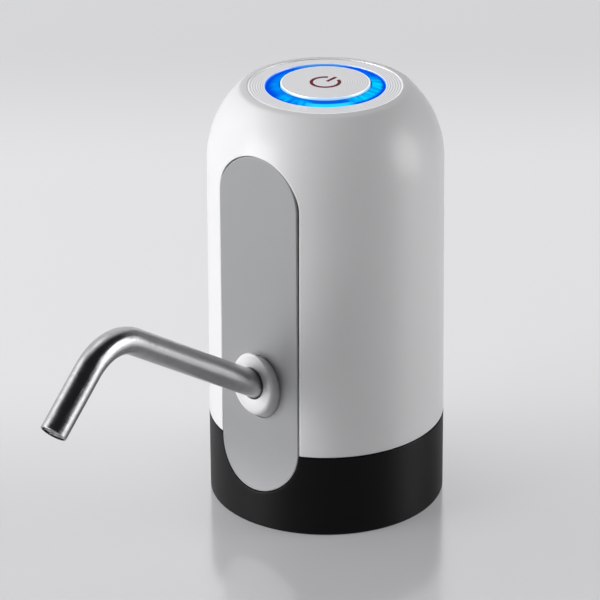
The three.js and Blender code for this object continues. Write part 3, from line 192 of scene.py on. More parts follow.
# %% White shell finish
white = Finish(
    "gloss_white_abs", base_color=(0.86, 0.862, 0.87), specular_ior_level=0.45, coat_weight=0.1,
    coat_roughness=0.12)
white.set("Roughness", white.noise(60, 3) * 0.06 + 0.36)
white.bump(white.noise(900, 2), 0.01 * mm, 0.35)

# %% [markdown]
# ## Black base finish
# The base is satin black ABS, with the fine spark texture that hides scratches on a part which is
# pressed onto bottles.

# %% Black base finish
black = Finish("satin_black_abs", base_color=(0.001, 0.001, 0.0016), specular_ior_level=0.17)
black.set("Roughness", black.noise(80, 3) * 0.08 + 0.43)
black.bump(black.noise(2600, 2), 0.02 * mm, 0.3)

# %% [markdown]
# ## Grey panel finish
# The panel is a flat satin moulding in mid grey. It is less glossy than the shell beside it. Its sides, deep
# in the joint, are coloured near black: painted shade, which makes the joint a dark line.

# %% Grey panel finish
# The panel's sides behind its face turn near black: painted shade in the joint.
joint_shade_back, joint_shade_front = -32.2, -32.5
grey = Finish("satin_grey_abs")
_, depth, _ = grey.axes()
grey.set("Base Color", grey.mix(
    depth.ramp(joint_shade_front * mm, joint_shade_back * mm), (0.362, 0.366, 0.376), (0.03, 0.03, 0.032)))
grey.set("Roughness", grey.noise(70, 3) * 0.08 + 0.38)
grey.bump(grey.noise(2200, 2), 0.02 * mm, 0.25)

# %% [markdown]
# ## Steps of the hand
# Most pieces start as a ring that is extruded and scaled again and again. The same few moves come
# back each time, so they are written once: clear the selection, pick a piece, add a ring, grow it
# by one step, and close the work with merged points and faces that look outwards.


# %% Steps of the hand
def clear_selection():
    if bpy.context.mode != "OBJECT":
        bpy.ops.object.mode_set(mode="OBJECT")
    bpy.ops.object.select_all(action="DESELECT")


def activate(obj):
    clear_selection()
    obj.select_set(True)
    bpy.context.view_layer.objects.active = obj
    return obj


def in_metres(place):
    return tuple(part * mm for part in place)


def add_ring(name, radius, place, turn=(0, 0, 0), sides=128, fill="NOTHING"):
    """A ring or a round face at a place in millimetres, with that place kept in its mesh."""
    clear_selection()
    bpy.ops.mesh.primitive_circle_add(
        vertices=sides, radius=radius * mm, fill_type=fill, rotation=turn, location=in_metres(place))
    obj = bpy.context.object
    obj.name = name
    bpy.ops.object.transform_apply(location=True, rotation=True)
    return obj


def extrude_ring(move):
    """Extrudes the selected ring by a move in metres."""
    bpy.ops.mesh.extrude_edges_move(TRANSFORM_OT_translate={"value": move})


def finish_edit(merge_within=0):
    """Merges points closer than a distance in millimetres, turns faces outwards, leaves edit mode."""
    bpy.ops.mesh.select_all(action="SELECT")
    if merge_within:
        bpy.ops.mesh.remove_doubles(threshold=merge_within * mm)
    bpy.ops.mesh.normals_make_consistent(inside=False)
    bpy.ops.object.mode_set(mode="OBJECT")


def merge_doubles(obj):
    activate(obj)
    bpy.ops.object.mode_set(mode="EDIT")
    finish_edit(merge_within=0.001)


def extrude_all(obj, move):
    """Gives a flat piece its thickness, by a move in millimetres."""
    activate(obj)
    bpy.ops.object.mode_set(mode="EDIT")
    bpy.ops.mesh.select_all(action="SELECT")
    bpy.ops.mesh.extrude_region_move(TRANSFORM_OT_translate={"value": in_metres(move)})
    finish_edit()


# %% [markdown]
# ## Turned pieces
# A round piece could be a profile with a Screw modifier. Here it is made as on a lathe: a first
# ring grows along a list of (radius, height) points. A second helper first rounds the corners of
# such a list, because no real edge is sharp.


# %% Turned pieces
def rounded(profile, radii):
    """The profile with each corner that has a radius replaced by a small arc."""
    points = []
    for i, corner in enumerate(profile):
        radius = radii.get(i, 0)
        here = Vector(corner)
        if radius == 0:
            points.append(here)
            continue
        before = (Vector(profile[i - 1]) - here).normalized()
        after = (Vector(profile[(i + 1) % len(profile)]) - here).normalized()
        half = before.angle(after) / 2
        start = here + before * (radius / math.tan(half))
        end = here + after * (radius / math.tan(half))
        centre = here + (before + after).normalized() * (radius / math.sin(half))
        steps = max(3, round(math.degrees(math.pi - 2 * half) / 15))
        for step in range(steps + 1):
            direction = (start - centre).slerp(end - centre, step / steps)
            points.append(centre + direction.normalized() * radius)
    return [tuple(point) for point in points]


on_axis = 1e-4


def turned(name, profile, sides=128, closed=True):
    """A solid of revolution round the upright axis, from (radius, height) points in millimetres."""
    radius, height = profile[0]
    obj = add_ring(name, radius, (0, 0, height), sides=sides)
    bpy.ops.object.mode_set(mode="EDIT")
    for next_radius, next_height in profile[1:] + (profile[:1] if closed else []):
        next_radius = max(next_radius, on_axis)
        extrude_ring((0, 0, (next_height - height) * mm))
        factor = next_radius / radius
        bpy.ops.transform.resize(value=(factor, factor, 1), center_override=(0, 0, next_height * mm))
        radius, height = next_radius, next_height
    finish_edit(merge_within=0.002)
    return obj


# %% [markdown]
# ## Finishing a piece
# Each piece ends the same way. Flat faces are shaded smooth up to an angle, modifiers are applied,
# and the piece gets its material, the moving body it belongs to and the CAD pieces it stands for.


# %% Finishing a piece
def smooth(obj, degrees=35):
    activate(obj)
    bpy.ops.object.shade_smooth_by_angle(angle=math.radians(degrees))
    return obj


def apply_modifier(obj, kind, **settings):
    activate(obj)
    modifier = obj.modifiers.new(kind.lower(), kind)
    for name, value in settings.items():
        setattr(modifier, name, value)
    bpy.ops.object.modifier_apply(modifier=modifier.name)
    return obj


def join(*objs):
    activate(objs[0])
    for other in objs[1:]:
        other.select_set(True)
    bpy.ops.object.join()
    return objs[0]


def finish_piece(obj, finish, body, slot, *nodes):
    """Gives a piece its material, the body it moves with and the CAD nodes it stands for."""
    obj.data.materials.clear()
    obj.data.materials.append(finish.material)
    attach(obj, body)
    if nodes:
        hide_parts(*nodes)
    size = obj.dimensions / mm
    print(f"{obj.name}: {size.x:.1f} x {size.y:.1f} x {size.z:.1f} mm, {len(obj.data.polygons)} faces")
    return obj


# %% [markdown]
# ## Body sizes and the side's outline
# The body is a cylinder with a little draft, which lets the mould open, and a rounded shoulder up
# to the crown. The outline is drawn once as a line of points, because the shell's skin, its
# opening and its crown all follow it. All sizes are in millimetres.

# %% Body sizes and the side's outline
body_radius, base_height, seam = 36.0, 26.08, 0.16
shoulder_height, shoulder_radius, shoulder_sweep = 109.0, 30.0, 0.53 * math.pi / 2
shell_foot, base_top = base_height + seam / 2, base_height - seam / 2
draft = 0.5
panel_half, panel_foot, panel_head, panel_joint = 14.35, 11.9, 119.25, 0.23
panel_plane, panel_run_out = 33.0, 17.3
opening_radius, crown_height, rim_round = 23.16, 131.79, 0.2
shoulder_end = (
    body_radius - draft - shoulder_radius * (1 - math.cos(shoulder_sweep)),
    shoulder_height + shoulder_radius * math.sin(shoulder_sweep),
)
side_steps, shoulder_steps = 60, 40
crown_softening, softened_steps = 2.6, 4


def side_outline():
    """Points of the shell's outside from its foot to the crown's rim, finely stepped."""
    points = [(body_radius, shell_foot)]
    for step in range(1, side_steps + 1):
        share = step / side_steps
        points.append((body_radius - draft * share, shell_foot + (shoulder_height - shell_foot) * share))
    for step in range(1, shoulder_steps + 1):
        angle = shoulder_sweep * step / shoulder_steps
        points.append((
            body_radius - draft - shoulder_radius * (1 - math.cos(angle)),
            shoulder_height + shoulder_radius * math.sin(angle),
        ))
    rim = (opening_radius + rim_round, crown_height)
    softened = rounded([points[-softened_steps], shoulder_end, rim], {1: crown_softening})
    return points[:-softened_steps] + softened


print(f"the shell's outline has {len(side_outline())} points and ends at {crown_height} mm")

# %% [markdown]
# ## Walking along an outline
# A grid keeps even squares on a curved body only if it is laid by distance along the outline and
# not by height. Two helpers turn a distance into a point, and a height into a distance.


# %% Walking along an outline
def walker(points):
    """A function from distance along a polyline to the point there."""
    lengths = [0.0]
    for a, b in zip(points, points[1:]):
        lengths.append(lengths[-1] + math.dist(a, b))

    def at(distance):
        distance = min(max(distance, 0), lengths[-1])
        low, high = 0, len(lengths) - 1
        while high - low > 1:
            middle = (low + high) // 2
            low, high = (middle, high) if lengths[middle] <= distance else (low, middle)
        share = (distance - lengths[low]) / (lengths[high] - lengths[low])
        return Vector(points[low]).lerp(Vector(points[high]), share)

    return at, lengths[-1]


def distance_at_height(at, total, height):
    """Distance along the outline at which it reaches a height, by halving the range."""
    low, high = 0.0, total
    rising = at(total).y > at(0).y
    for _ in range(40):
        middle = (low + high) / 2
        if (at(middle).y < height) == rising:
            low = middle
        else:
            high = middle
    return low


at_side, side_length = walker(side_outline())
print(f"the side is {side_length:.1f} mm long")

# %% [markdown]
# ## A skin round an opening
# The front panel's opening cuts through the shell and the base. Cutting it out of a finished
# cylinder leaves ragged faces that spoil a glossy surface. It is better to lay a grid that starts
# on the opening's edge and spreads round the body, so that its lines follow both. The grid is
# first laid out flat and then wrapped on the body. Each point also keeps the way to the inside of
# the wall, for the next step.

# %% A skin round an opening
skin_wall, pocket_floor = 1.4, -30.3
edge_steps = (0, 0.8, 1.3)
crowding, pocket_rows = 1.15, 5
crown_turns_down, turning_height = 122, 6
nudge = 0.05


def clamped(value):
    return min(max(value, 0), 1)


def wrapped_sheet(name, at, edge_points, far_points, rings):
    """A sheet whose grid runs from an opening's edge to the far edge of the flat layout.

    edge_points and far_points give (angle round the body, distance along the outline) for each
    column; edge_points takes a distance away from the opening. Each point keeps the way to the
    wall's inside: straight back to the pocket's floor at the opening, and down at the crown.
    """
    rows = [edge_points(step) for step in edge_steps]
    for ring in range(1, rings + 1):
        share = (ring / rings) ** crowding
        rows.append([
            (a + (c - a) * share, b + (d - b) * share) for (a, b), (c, d) in zip(rows[2], far_points)
        ])
    columns = len(far_points)
    clear_selection()
    bpy.ops.mesh.primitive_grid_add(x_subdivisions=columns - 1, y_subdivisions=len(rows) - 1, size=1)
    sheet = bpy.context.object
    sheet.name = name
    inward = sheet.data.attributes.new("inward", "FLOAT_VECTOR", "POINT")
    for vertex in sheet.data.vertices:
        column = round((vertex.co.x + 0.5) * (columns - 1))
        row = round((vertex.co.y + 0.5) * (len(rows) - 1))
        angle, distance = rows[row][column]
        here = at(distance)
        slope = (at(distance + nudge) - at(distance - nudge)).normalized()
        out = Vector((slope.y, -slope.x)) * (1 if at(1).y > at(0).y else -1)
        place = Vector((here.x * math.sin(angle), -here.x * math.cos(angle), here.y))
        straight_in = Vector((-out.x * math.sin(angle), out.x * math.cos(angle), -out.y)) * skin_wall
        drop = clamped((here.y - crown_turns_down) / turning_height)
        plain_wall = straight_in.lerp(Vector((0, 0, -skin_wall)), drop)
        at_pocket = Vector((0, pocket_floor - place.y, 0))
        inward.data[vertex.index].vector = at_pocket.lerp(plain_wall, clamped((row - 2) / pocket_rows))
        vertex.co = place * mm
    merge_doubles(sheet)
    return sheet


# %% [markdown]
# ## A wall with soft edges
# Solidify would give the same thickness everywhere, but the wall has to go straight back at the
# opening and square in elsewhere. So the sheet is extruded in place, and the copy moves along the
# kept ways. The edges between the outside and the rim are then bevelled.


# %% A wall with soft edges
def give_wall(sheet, edge_round, rounds=lambda place: True):
    """Thickens a sheet along its kept ways in, and rounds the outer edges that a test picks."""
    activate(sheet)
    bpy.ops.object.mode_set(mode="EDIT")
    bpy.ops.mesh.select_all(action="SELECT")
    bpy.ops.mesh.extrude_region_move()
    bpy.ops.object.mode_set(mode="OBJECT")
    mesh = sheet.data
    inner = [vertex.select for vertex in mesh.vertices]
    ways_in = mesh.attributes["inward"].data
    for vertex in mesh.vertices:
        if inner[vertex.index]:
            vertex.co += Vector(ways_in[vertex.index].vector) * mm
    rim_edges = set()
    for face in mesh.polygons:
        if len({inner[v] for v in face.vertices}) == 2:
            rim_edges.update(key for key in face.edge_keys if not inner[key[0]] and not inner[key[1]])
    bpy.ops.object.mode_set(mode="EDIT")
    bpy.ops.mesh.select_all(action="SELECT")
    bpy.ops.mesh.normals_make_consistent(inside=False)
    bpy.ops.mesh.select_all(action="DESELECT")
    bpy.ops.mesh.select_mode(type="EDGE")
    bpy.ops.object.mode_set(mode="OBJECT")
    for edge in mesh.edges:
        middle = (mesh.vertices[edge.vertices[0]].co + mesh.vertices[edge.vertices[1]].co) / 2 / mm
        edge.select = edge.key in rim_edges and rounds(middle)
    picked = sum(edge.select for edge in mesh.edges)
    bpy.ops.object.mode_set(mode="EDIT")
    bpy.ops.mesh.bevel(offset=edge_round * mm, segments=3, affect="EDGES", clamp_overlap=False)
    bpy.ops.mesh.select_mode(type="VERT")
    bpy.ops.object.mode_set(mode="OBJECT")
    mesh.attributes.remove(mesh.attributes["inward"])
    print(f"{sheet.name}: rounded {picked} edges")
    return sheet


# %% [markdown]
# ## Outer shell
# The white shell is a tube with a rounded shoulder and an arched opening in front. One side of its
# grid lies on the arch, from the foot on the right over the top to the foot on the left. The other
# side runs up the back, round the crown and down the back again.

# %% Outer shell
opening_half = panel_half + panel_joint
arch_height = panel_head - panel_half
arch_turns, shell_rings = 96, 64


def stepped(start, end, count, fine=()):
    """Values from start to end, with some fine steps given first."""
    values = [start + step for step in fine]
    first = values[-1] if values else start
    return values + [first + (end - first) * i / count for i in range(1, count + 1)]


uprights = stepped(shell_foot, arch_height, 76, edge_steps)


def shell_edge(away):
    """The opening's edge in the flat layout: up the right side, over the arch, down the left."""
    half = opening_half + away
    path = [(half, height) for height in uprights]
    for step in range(1, arch_turns):
        angle = math.pi * step / arch_turns
        path.append((half * math.cos(angle), arch_height + half * math.sin(angle)))
    path += [(-half, height) for height in reversed(uprights)]
    flat = []
    for x, height in path:
        distance = distance_at_height(at_side, side_length, height)
        flat.append((math.asin(x / at_side(distance).x), distance))
    return flat


rises = [height - shell_foot for height in uprights]
climb = [rise / rises[-1] * side_length for rise in rises]
shell_far = [(math.pi, distance) for distance in climb]
shell_far += [(math.pi * (1 - 2 * step / arch_turns), side_length) for step in range(1, arch_turns)]
shell_far += [(-math.pi, distance) for distance in reversed(climb)]
shell = wrapped_sheet("outer_shell_skin", at_side, shell_edge, shell_far, shell_rings)
print("shell sheet:", len(shell.data.polygons), "faces")

# %% [markdown]
# ## Crown rim
# The crown's rim is made by hand from the sheet's top edge: the edge loop is extruded and scaled
# through a small quarter round and then down the wall in which the top plate sits.

# %% Crown rim
rim_wall, shell_edge_round = 1.4, 0.45
activate(shell)
bpy.ops.object.mode_set(mode="EDIT")
bpy.ops.mesh.select_all(action="DESELECT")
bpy.ops.object.mode_set(mode="OBJECT")
for vertex in shell.data.vertices:
    vertex.select = vertex.co.z > (crown_height - 0.01) * mm
for edge in shell.data.edges:
    edge.select = all(shell.data.vertices[v].select for v in edge.vertices)
bpy.ops.object.mode_set(mode="EDIT")
radius, height = opening_radius + rim_round, crown_height
rim_steps = [
    (opening_radius + rim_round * (1 - math.sin(a)), crown_height - rim_round * (1 - math.cos(a)))
    for a in (math.pi / 2 * step / 5 for step in range(1, 6))
]
for next_radius, next_height in rim_steps + [(opening_radius, crown_height - rim_wall)]:
    extrude_ring((0, 0, (next_height - height) * mm))
    factor = next_radius / radius
    bpy.ops.transform.resize(value=(factor, factor, 1), center_override=(0, 0, next_height * mm))
    radius, height = next_radius, next_height
finish_edit()
give_wall(shell, shell_edge_round, lambda place: place.z < crown_height - 5)

# %% [markdown]
# ## Charging port opening
# At the back the shell opens on the charging socket. The opening is cut with a flat bar that has
# round ends, as a milling cutter would leave it. A round face pulled apart in the middle is the
# bar's end.

# %% Charging port opening
port_height, port_half, port_reach = 33.95, 1.95, 2.8
upright = (math.pi / 2, 0, 0)
port_cutter = add_ring("port_cutter", port_half, (0, 32, port_height), upright, 48, "NGON")
for vertex in port_cutter.data.vertices:
    vertex.co.x += math.copysign(port_reach, vertex.co.x) * mm
extrude_all(port_cutter, (0, 6, 0))
apply_modifier(shell, "BOOLEAN", object=port_cutter, operation="DIFFERENCE", solver="EXACT")
bpy.data.objects.remove(port_cutter)
print("shell with its port opening:", len(shell.data.polygons), "faces")

# %% [markdown]
# ## Pocket behind the panel
# The panel lies in a shallow pocket. Its floor is a flat plate with one rounded end: the end is at
# the top in the shell and at the bottom in the base. With it the shell is complete.


# %% Pocket behind the panel
def pocket_plate(name, low, high, arch):
    """The flat floor behind the panel: a plate with a rounded end at the top or at the bottom."""
    half = opening_half + 0.9
    cut = high if arch else low
    plate = add_ring(name, half, (0, pocket_floor, cut), upright, 64, "NGON")
    for vertex in plate.data.vertices:
        below = vertex.co.z < cut * mm
        if below == arch:
            vertex.co.x = math.copysign(half, vertex.co.x) * mm
            vertex.co.z = (low if arch else high) * mm
    merge_doubles(plate)
    extrude_all(plate, (0, 2, 0))
    return plate


shell = join(shell, pocket_plate("shell_pocket", shell_foot, arch_height, True))
smooth(shell, 32)
finish_piece(shell, white, "housing", "shell_white", "outer_shell")

# %% [markdown]
# ## Base skin
# The black base is the same kind of skin, with the panel's rounded foot let into its top edge. Its
# grid starts on that notch and spreads down to the foot, which is rounded where it stands.

# %% Base skin
foot_round, base_steps, foot_steps = 0.8, 20, 8
notch_steps, climb_steps, round_steps, base_rings = 120, 24, 72, 56
base_outline = [
    (body_radius, base_top - (base_top - foot_round) * step / base_steps) for step in range(base_steps + 1)
]
base_outline += [
    (body_radius - foot_round * (1 - math.cos(a)), foot_round * (1 - math.sin(a)))
    for a in (math.pi / 2 * step / foot_steps for step in range(1, foot_steps + 1))
]
at_base, base_length = walker(base_outline)
foot_centre = panel_foot + panel_half


def base_edge(away):
    """The notch's edge in the flat layout, from the right of the seam down and round to the left."""
    half = opening_half + away
    dip = math.asin((foot_centre - base_top) / half)
    flat = []
    for step in range(notch_steps + 1):
        angle = -dip - (math.pi - 2 * dip) * step / notch_steps
        distance = distance_at_height(at_base, base_length, foot_centre + half * math.sin(angle))
        if step in (0, notch_steps):
            distance = 0.0
        flat.append((math.asin(half * math.cos(angle) / body_radius), distance))
    return flat


base_far = [(math.pi, base_length * step / climb_steps) for step in range(climb_steps)]
base_far += [(math.pi * (1 - 2 * step / round_steps), base_length) for step in range(round_steps + 1)]
base_far += [(-math.pi, base_length * (1 - step / climb_steps)) for step in range(1, climb_steps + 1)]
base = wrapped_sheet("base_skin", at_base, base_edge, base_far, base_rings)
give_wall(base, 0.25, lambda place: place.z > 5)

# %% [markdown]
# ## Bottle socket
# Under the base a turned cup takes the bottle's neck. Its deck has a hole in the middle for the
# hose fitting, and its mouth is rounded, so that it slips over the neck.

# %% Bottle socket
cup_foot, cup_wall, hole = 35.2, 2, 4.3
socket_inner, socket_outer, deck_low, deck_high = 29.4, 31.0, 22.5, 24.7
cup = turned("base_cup", rounded(
    [(cup_foot, 0), (socket_inner, 0), (socket_inner, deck_low), (hole, deck_low), (hole, deck_high),
     (socket_outer, deck_high), (socket_outer, cup_wall), (cup_foot, cup_wall)], {1: 0.5, 2: 0.6}))
print("bottle socket:", len(cup.data.polygons), "faces")

# %% [markdown]
# ## Lip behind the seam
# A lip on the base stands up inside the shell, so that no light falls through the seam between
# them. It stops beside the panel. One small face is stretched to the lip's section and spun round
# the body. With the lip and its pocket floor the base is complete.

# %% Lip behind the seam
lip_radius, lip_height, lip_wall, lip_rise = 33, 26.1, 1.4, 6.2
lip_end = math.asin((opening_half + 0.3) / (lip_radius - lip_wall / 2))
on_lip = in_metres((0, lip_radius, lip_height))
lip_centre = in_metres((0, 0, lip_height))
clear_selection()
bpy.ops.mesh.primitive_plane_add(size=1 * mm, location=on_lip, rotation=(0, math.pi / 2, 0))
lip = bpy.context.object
lip.name = "seam_lip"
bpy.ops.object.transform_apply(location=True, rotation=True)
bpy.ops.object.mode_set(mode="EDIT")
bpy.ops.transform.resize(value=(1, lip_wall, lip_rise), center_override=on_lip)
bpy.ops.transform.rotate(value=lip_end + math.pi, orient_axis="Z", center_override=lip_centre)
bpy.ops.mesh.spin(steps=72, angle=2 * math.pi - 2 * lip_end, center=lip_centre, axis=(0, 0, 1))
finish_edit()
base = join(base, cup, lip, pocket_plate("base_pocket", foot_centre, base_top, False))
base.name = "base_skin"
smooth(base, 32)
finish_piece(base, black, "housing", "base_black", "base_shell")

# %% [markdown]
# ## Front panel
# The panel is one flat stadium whose foot curves forward until it is flush with the base. It is
# laid out as rings that shrink to a line, so that its softened edge runs evenly all round.

# %% Front panel
panel_thickness, panel_edge_round = 1.8, 0.35
upright_steps, end_turns = 60, 40
panel_rise = body_radius - panel_plane
arc_radius = (panel_run_out**2 + panel_rise**2) / (2 * panel_rise)


def panel_face(height):
    """How far the panel's face stands in front of the body's axis at a height."""
    into = max(0.0, panel_foot + panel_run_out - height)
    return panel_plane + arc_radius - math.sqrt(arc_radius**2 - into**2)


def stadium(half, low, high):
    """Points of an upright stadium, from the right end of its lower arc and round."""
    climbs = [(high - low) * step / upright_steps for step in range(upright_steps)]
    angles = [math.pi * step / end_turns for step in range(end_turns)]
    turns = [(half * math.cos(a), half * math.sin(a)) for a in angles]
    points = [(half, low + climb) for climb in climbs] + [(x, high + z) for x, z in turns]
    return points + [(-half, high - climb) for climb in climbs] + [(-x, low - z) for x, z in turns]


panel_shares = [0, 0.04, 0.08] + [0.08 + 0.92 * step / 16 for step in range(1, 17)]
ring_size = 2 * (upright_steps + end_turns)
clear_selection()
bpy.ops.mesh.primitive_grid_add(x_subdivisions=ring_size, y_subdivisions=len(panel_shares) - 1, size=1)
panel = bpy.context.object
panel.name = "front_panel_face"
panel_rings = [stadium(panel_half * (1 - share), foot_centre, arch_height) for share in panel_shares]
straight_back = panel.data.attributes.new("inward", "FLOAT_VECTOR", "POINT")
for vertex in panel.data.vertices:
    column = round((vertex.co.x + 0.5) * ring_size) % ring_size
    row = round((vertex.co.y + 0.5) * (len(panel_shares) - 1))
    x, z = panel_rings[row][column]
    straight_back.data[vertex.index].vector = (0, panel_thickness, 0)
    vertex.co = Vector((x, -panel_face(z), z)) * mm
merge_doubles(panel)
give_wall(panel, panel_edge_round)

# %% [markdown]
# ## The leaning oval
# The spout rises at an angle, so everything round it leans: a ring that is round when it is seen
# along the spout is a taller oval on the upright panel. This helper grows such rings along the
# spout's line. The collar is also a little narrower than it is tall.

# %% The leaning oval
spout_rise = math.radians(32.16)
root_plane, root_height = 33.0, 45.54
collar_radius, collar_front, bore = 8.5, 37.0, 4.35
oval_share, collar_joint = 0.885, 0.28


def axis_height(y):
    return root_height + (-y - root_plane) * math.tan(spout_rise)


def leaning_rings(name, rings, sides=96):
    """Rings in upright planes, each (radius, y), that lean with the spout."""
    radius, y = rings[0]
    obj = add_ring(name, radius, (0, y, axis_height(y)), upright, sides)
    bpy.ops.object.mode_set(mode="EDIT")
    centre = in_metres((0, y, axis_height(y)))
    bpy.ops.transform.resize(value=(1, 1, 1 / math.cos(spout_rise)), center_override=centre)
    for next_radius, next_y in rings[1:] + rings[:1]:
        centre = in_metres((0, next_y, axis_height(next_y)))
        extrude_ring((0, (next_y - y) * mm, (axis_height(next_y) - axis_height(y)) * mm))
        factor = next_radius / radius
        bpy.ops.transform.resize(value=(factor, 1, factor), center_override=centre)
        radius, y = next_radius, next_y
    finish_edit(merge_within=0.001)
    return obj


def narrow_sideways(obj):
    """Narrows an oval boss from side to side, but leaves its round bore as it is."""
    for vertex in obj.data.vertices:
        height = (vertex.co.z / mm - axis_height(vertex.co.y / mm)) * math.cos(spout_rise)
        out = clamped((math.hypot(vertex.co.x / mm, height) - bore) / (collar_radius - bore))
        vertex.co.x *= 1 + (oval_share - 1) * out
    return obj


# %% [markdown]
# ## The collar's hole in the panel
# The collar comes through the panel. Its hole is cut with a bar of the same leaning oval, made a
# fine joint wider. The bar's ends close in its middle: rings so small there that they merge.

# %% The collar's hole in the panel
cut_radius, to_a_point = collar_radius + collar_joint, 0.0004
cutter = narrow_sideways(leaning_rings(
    "collar_cutter", [(to_a_point, -36), (cut_radius, -36), (cut_radius, -28), (to_a_point, -28)]))
apply_modifier(panel, "BOOLEAN", object=cutter, operation="DIFFERENCE", solver="EXACT")
bpy.data.objects.remove(cutter)
smooth(panel, 32)
finish_piece(panel, grey, "housing", "panel_grey", "front_panel")

# %% [markdown]
# ## Outlet collar
# The collar is a short white boss with an upright front face and a well rounded edge. Its bore
# leaves a dark ring round the tube.

# %% Outlet collar
collar_back, collar_round, bore_round = -29, 1.15, 0.3
corner = [
    (collar_radius - collar_round * (1 - math.sin(a)), -collar_front + collar_round * (1 - math.cos(a)))
    for a in (math.pi / 2 * step / 8 for step in range(9))
]
bore_corner = [
    (bore, -collar_front + bore_round), (bore + 0.09, -collar_front + 0.09),
    (bore + bore_round, -collar_front),
]
collar = leaning_rings(
    "outlet_collar_ring", [(bore, collar_back)] + bore_corner + corner + [(collar_radius, collar_back)])
smooth(narrow_sideways(collar), 32)
finish_piece(collar, white, "housing", "shell_white", "outlet_collar")

# %% [markdown]
# ## Spout
# The spout is bent from stainless tube. A curve with a bevel would be quicker, but the grooves of
# the steel need even rings. So one ring is extruded along the straight run, spun round the bend's
# centre and extruded again to the mouth. There it closes inwards to show the tube's wall, and goes
# back the same way as the bore.

# %% Spout
spout_radius, spout_wall, bend_radius, spout_reach, end_length = 4.0, 0.6, 17.1, 67.6, 20.4
spout_tail, lip_round, bore_lip = 18.5, 0.15, 0.1
run_steps, bend_steps, end_steps = 12, 40, 8
spout_fall = math.radians(41.28)
bend = spout_rise + spout_fall
root = Vector((0, -root_plane, root_height))
along = Vector((0, -math.cos(spout_rise), math.sin(spout_rise)))
across = Vector((0, math.sin(spout_rise), math.cos(spout_rise)))
down = Vector((0, -math.cos(spout_fall), -math.sin(spout_fall)))
off_the_end = Vector((0, -math.sin(spout_fall), math.cos(spout_fall)))
bend_start = root + along * spout_reach
bend_centre = bend_start - across * bend_radius
spout_start = root - along * spout_tail
mouth = bend_centre + off_the_end * bend_radius + down * end_length
spout = add_ring("spout_tube_bent", spout_radius, spout_start, (math.pi / 2 - spout_rise, 0, 0), 48)
bpy.ops.object.mode_set(mode="EDIT")
for step in range(run_steps):
    extrude_ring((bend_start - spout_start) / run_steps * mm)
bpy.ops.mesh.spin(steps=bend_steps, angle=bend, center=bend_centre * mm, axis=(-1, 0, 0))
for step in range(end_steps):
    extrude_ring(down * (end_length - lip_round) / end_steps * mm)
bore_radius = spout_radius - spout_wall
radius, position = spout_radius, mouth - down * lip_round
for next_radius, advance in [
    (spout_radius - lip_round, lip_round), (bore_radius + bore_lip, 0), (bore_radius, -bore_lip),
    (bore_radius, bore_lip - end_length),
]:
    extrude_ring(down * advance * mm)
    position += down * advance
    bpy.ops.transform.resize(value=(next_radius / radius,) * 3, center_override=position * mm)
    radius = next_radius
bpy.ops.mesh.spin(steps=bend_steps, angle=bend, center=bend_centre * mm, axis=(1, 0, 0))
extrude_ring((spout_start - bend_start) * mm)
bpy.ops.mesh.select_all(action="DESELECT")
bpy.ops.mesh.select_non_manifold()
bpy.ops.mesh.bridge_edge_loops()
finish_edit()
print("spout mouth in mm:", [round(c, 2) for c in mouth])

# %% [markdown]
# ## Places on the tube
# The steel is brushed round the tube. Each scratch is a tiny groove that runs round it, so the
# grooves tilt the surface along the tube only. That is why light shows on it as long, narrow
# bands. The grooves must follow the bend, so each point keeps its distance along the tube and its
# place round it in an attribute, which the finish reads.


# %% Places on the tube
def tube_station(point):
    """Distance along the tube, and how far above and beside its axis a point in millimetres lies."""
    local = point - root
    distance = local.dot(along)
    if distance <= spout_reach:
        return distance, local.dot(across), point.x
    arm = point - bend_centre
    turn = math.atan2(arm.dot(along), arm.dot(across))
    if turn < bend:
        return spout_reach + bend_radius * turn, arm.length - bend_radius, point.x
    return spout_reach + bend_radius * bend + arm.dot(down), arm.dot(off_the_end) - bend_radius, point.x


stations = spout.data.attributes.new("tube_place", "FLOAT_VECTOR", "POINT")
for vertex, item in zip(spout.data.vertices, stations.data):
    item.vector = tube_station(vertex.co / mm)
print(f"tube length to the mouth: {tube_station(mouth)[0]:.1f} mm")

# %% [markdown]
# ## Brushed steel
# The grooves are noise that is fine along the tube and very long round it. A wider noise of the same kind
# makes some bands of brushing a little lighter and rougher. The bore is coloured dark: painted shade, where
# no light comes in.

# %% Brushed steel
groove_scale, wear_scale = (24.0, 0.06, 0.06), (0.8, 0.15, 0.15)
groove_depth, bore_starts, bore_ends = 0.02, 3.75, 3.55
steel = Finish("brushed_stainless", metallic=1.0)
tube_place = steel.node("ShaderNodeAttribute", {"attribute_name": "tube_place"}, {}, "Vector")


def stretched_noise(scale, detail):
    stretched = steel.node("ShaderNodeMapping", {}, {"Vector": tube_place, "Scale": scale})
    return steel.noise(1.0, detail, stretched)


wear = stretched_noise(wear_scale, 3)
_, above, beside = steel.axes(tube_place)
inside = (above * above + beside * beside).math("SQRT").ramp(bore_starts, bore_ends)
brushed = steel.mix(wear.ramp(0.3, 0.7), (0.37, 0.37, 0.375), (0.41, 0.41, 0.413))
# Inside the bore the colour turns dark: painted shade.
steel.set("Base Color", steel.mix(inside, brushed, (0.05, 0.05, 0.052)))
steel.set("Roughness", wear * 0.04 + 0.2)
steel.bump(stretched_noise(groove_scale, 1), groove_depth * mm, 1.0)
smooth(spout, 40)
finish_piece(spout, steel, "spout", "spout_steel", "spout_tube")

# %% [markdown]
# ## Spout screen
# Inside the mouth a round of woven wire breaks up the stream. It could be a picture of a mesh, but
# at this size the wires themselves catch the light. Each wire is a small ring that is extruded in
# steps up and down, over one crossing wire and under the next. The wires that run one way lie
# closer together than those that cross them.

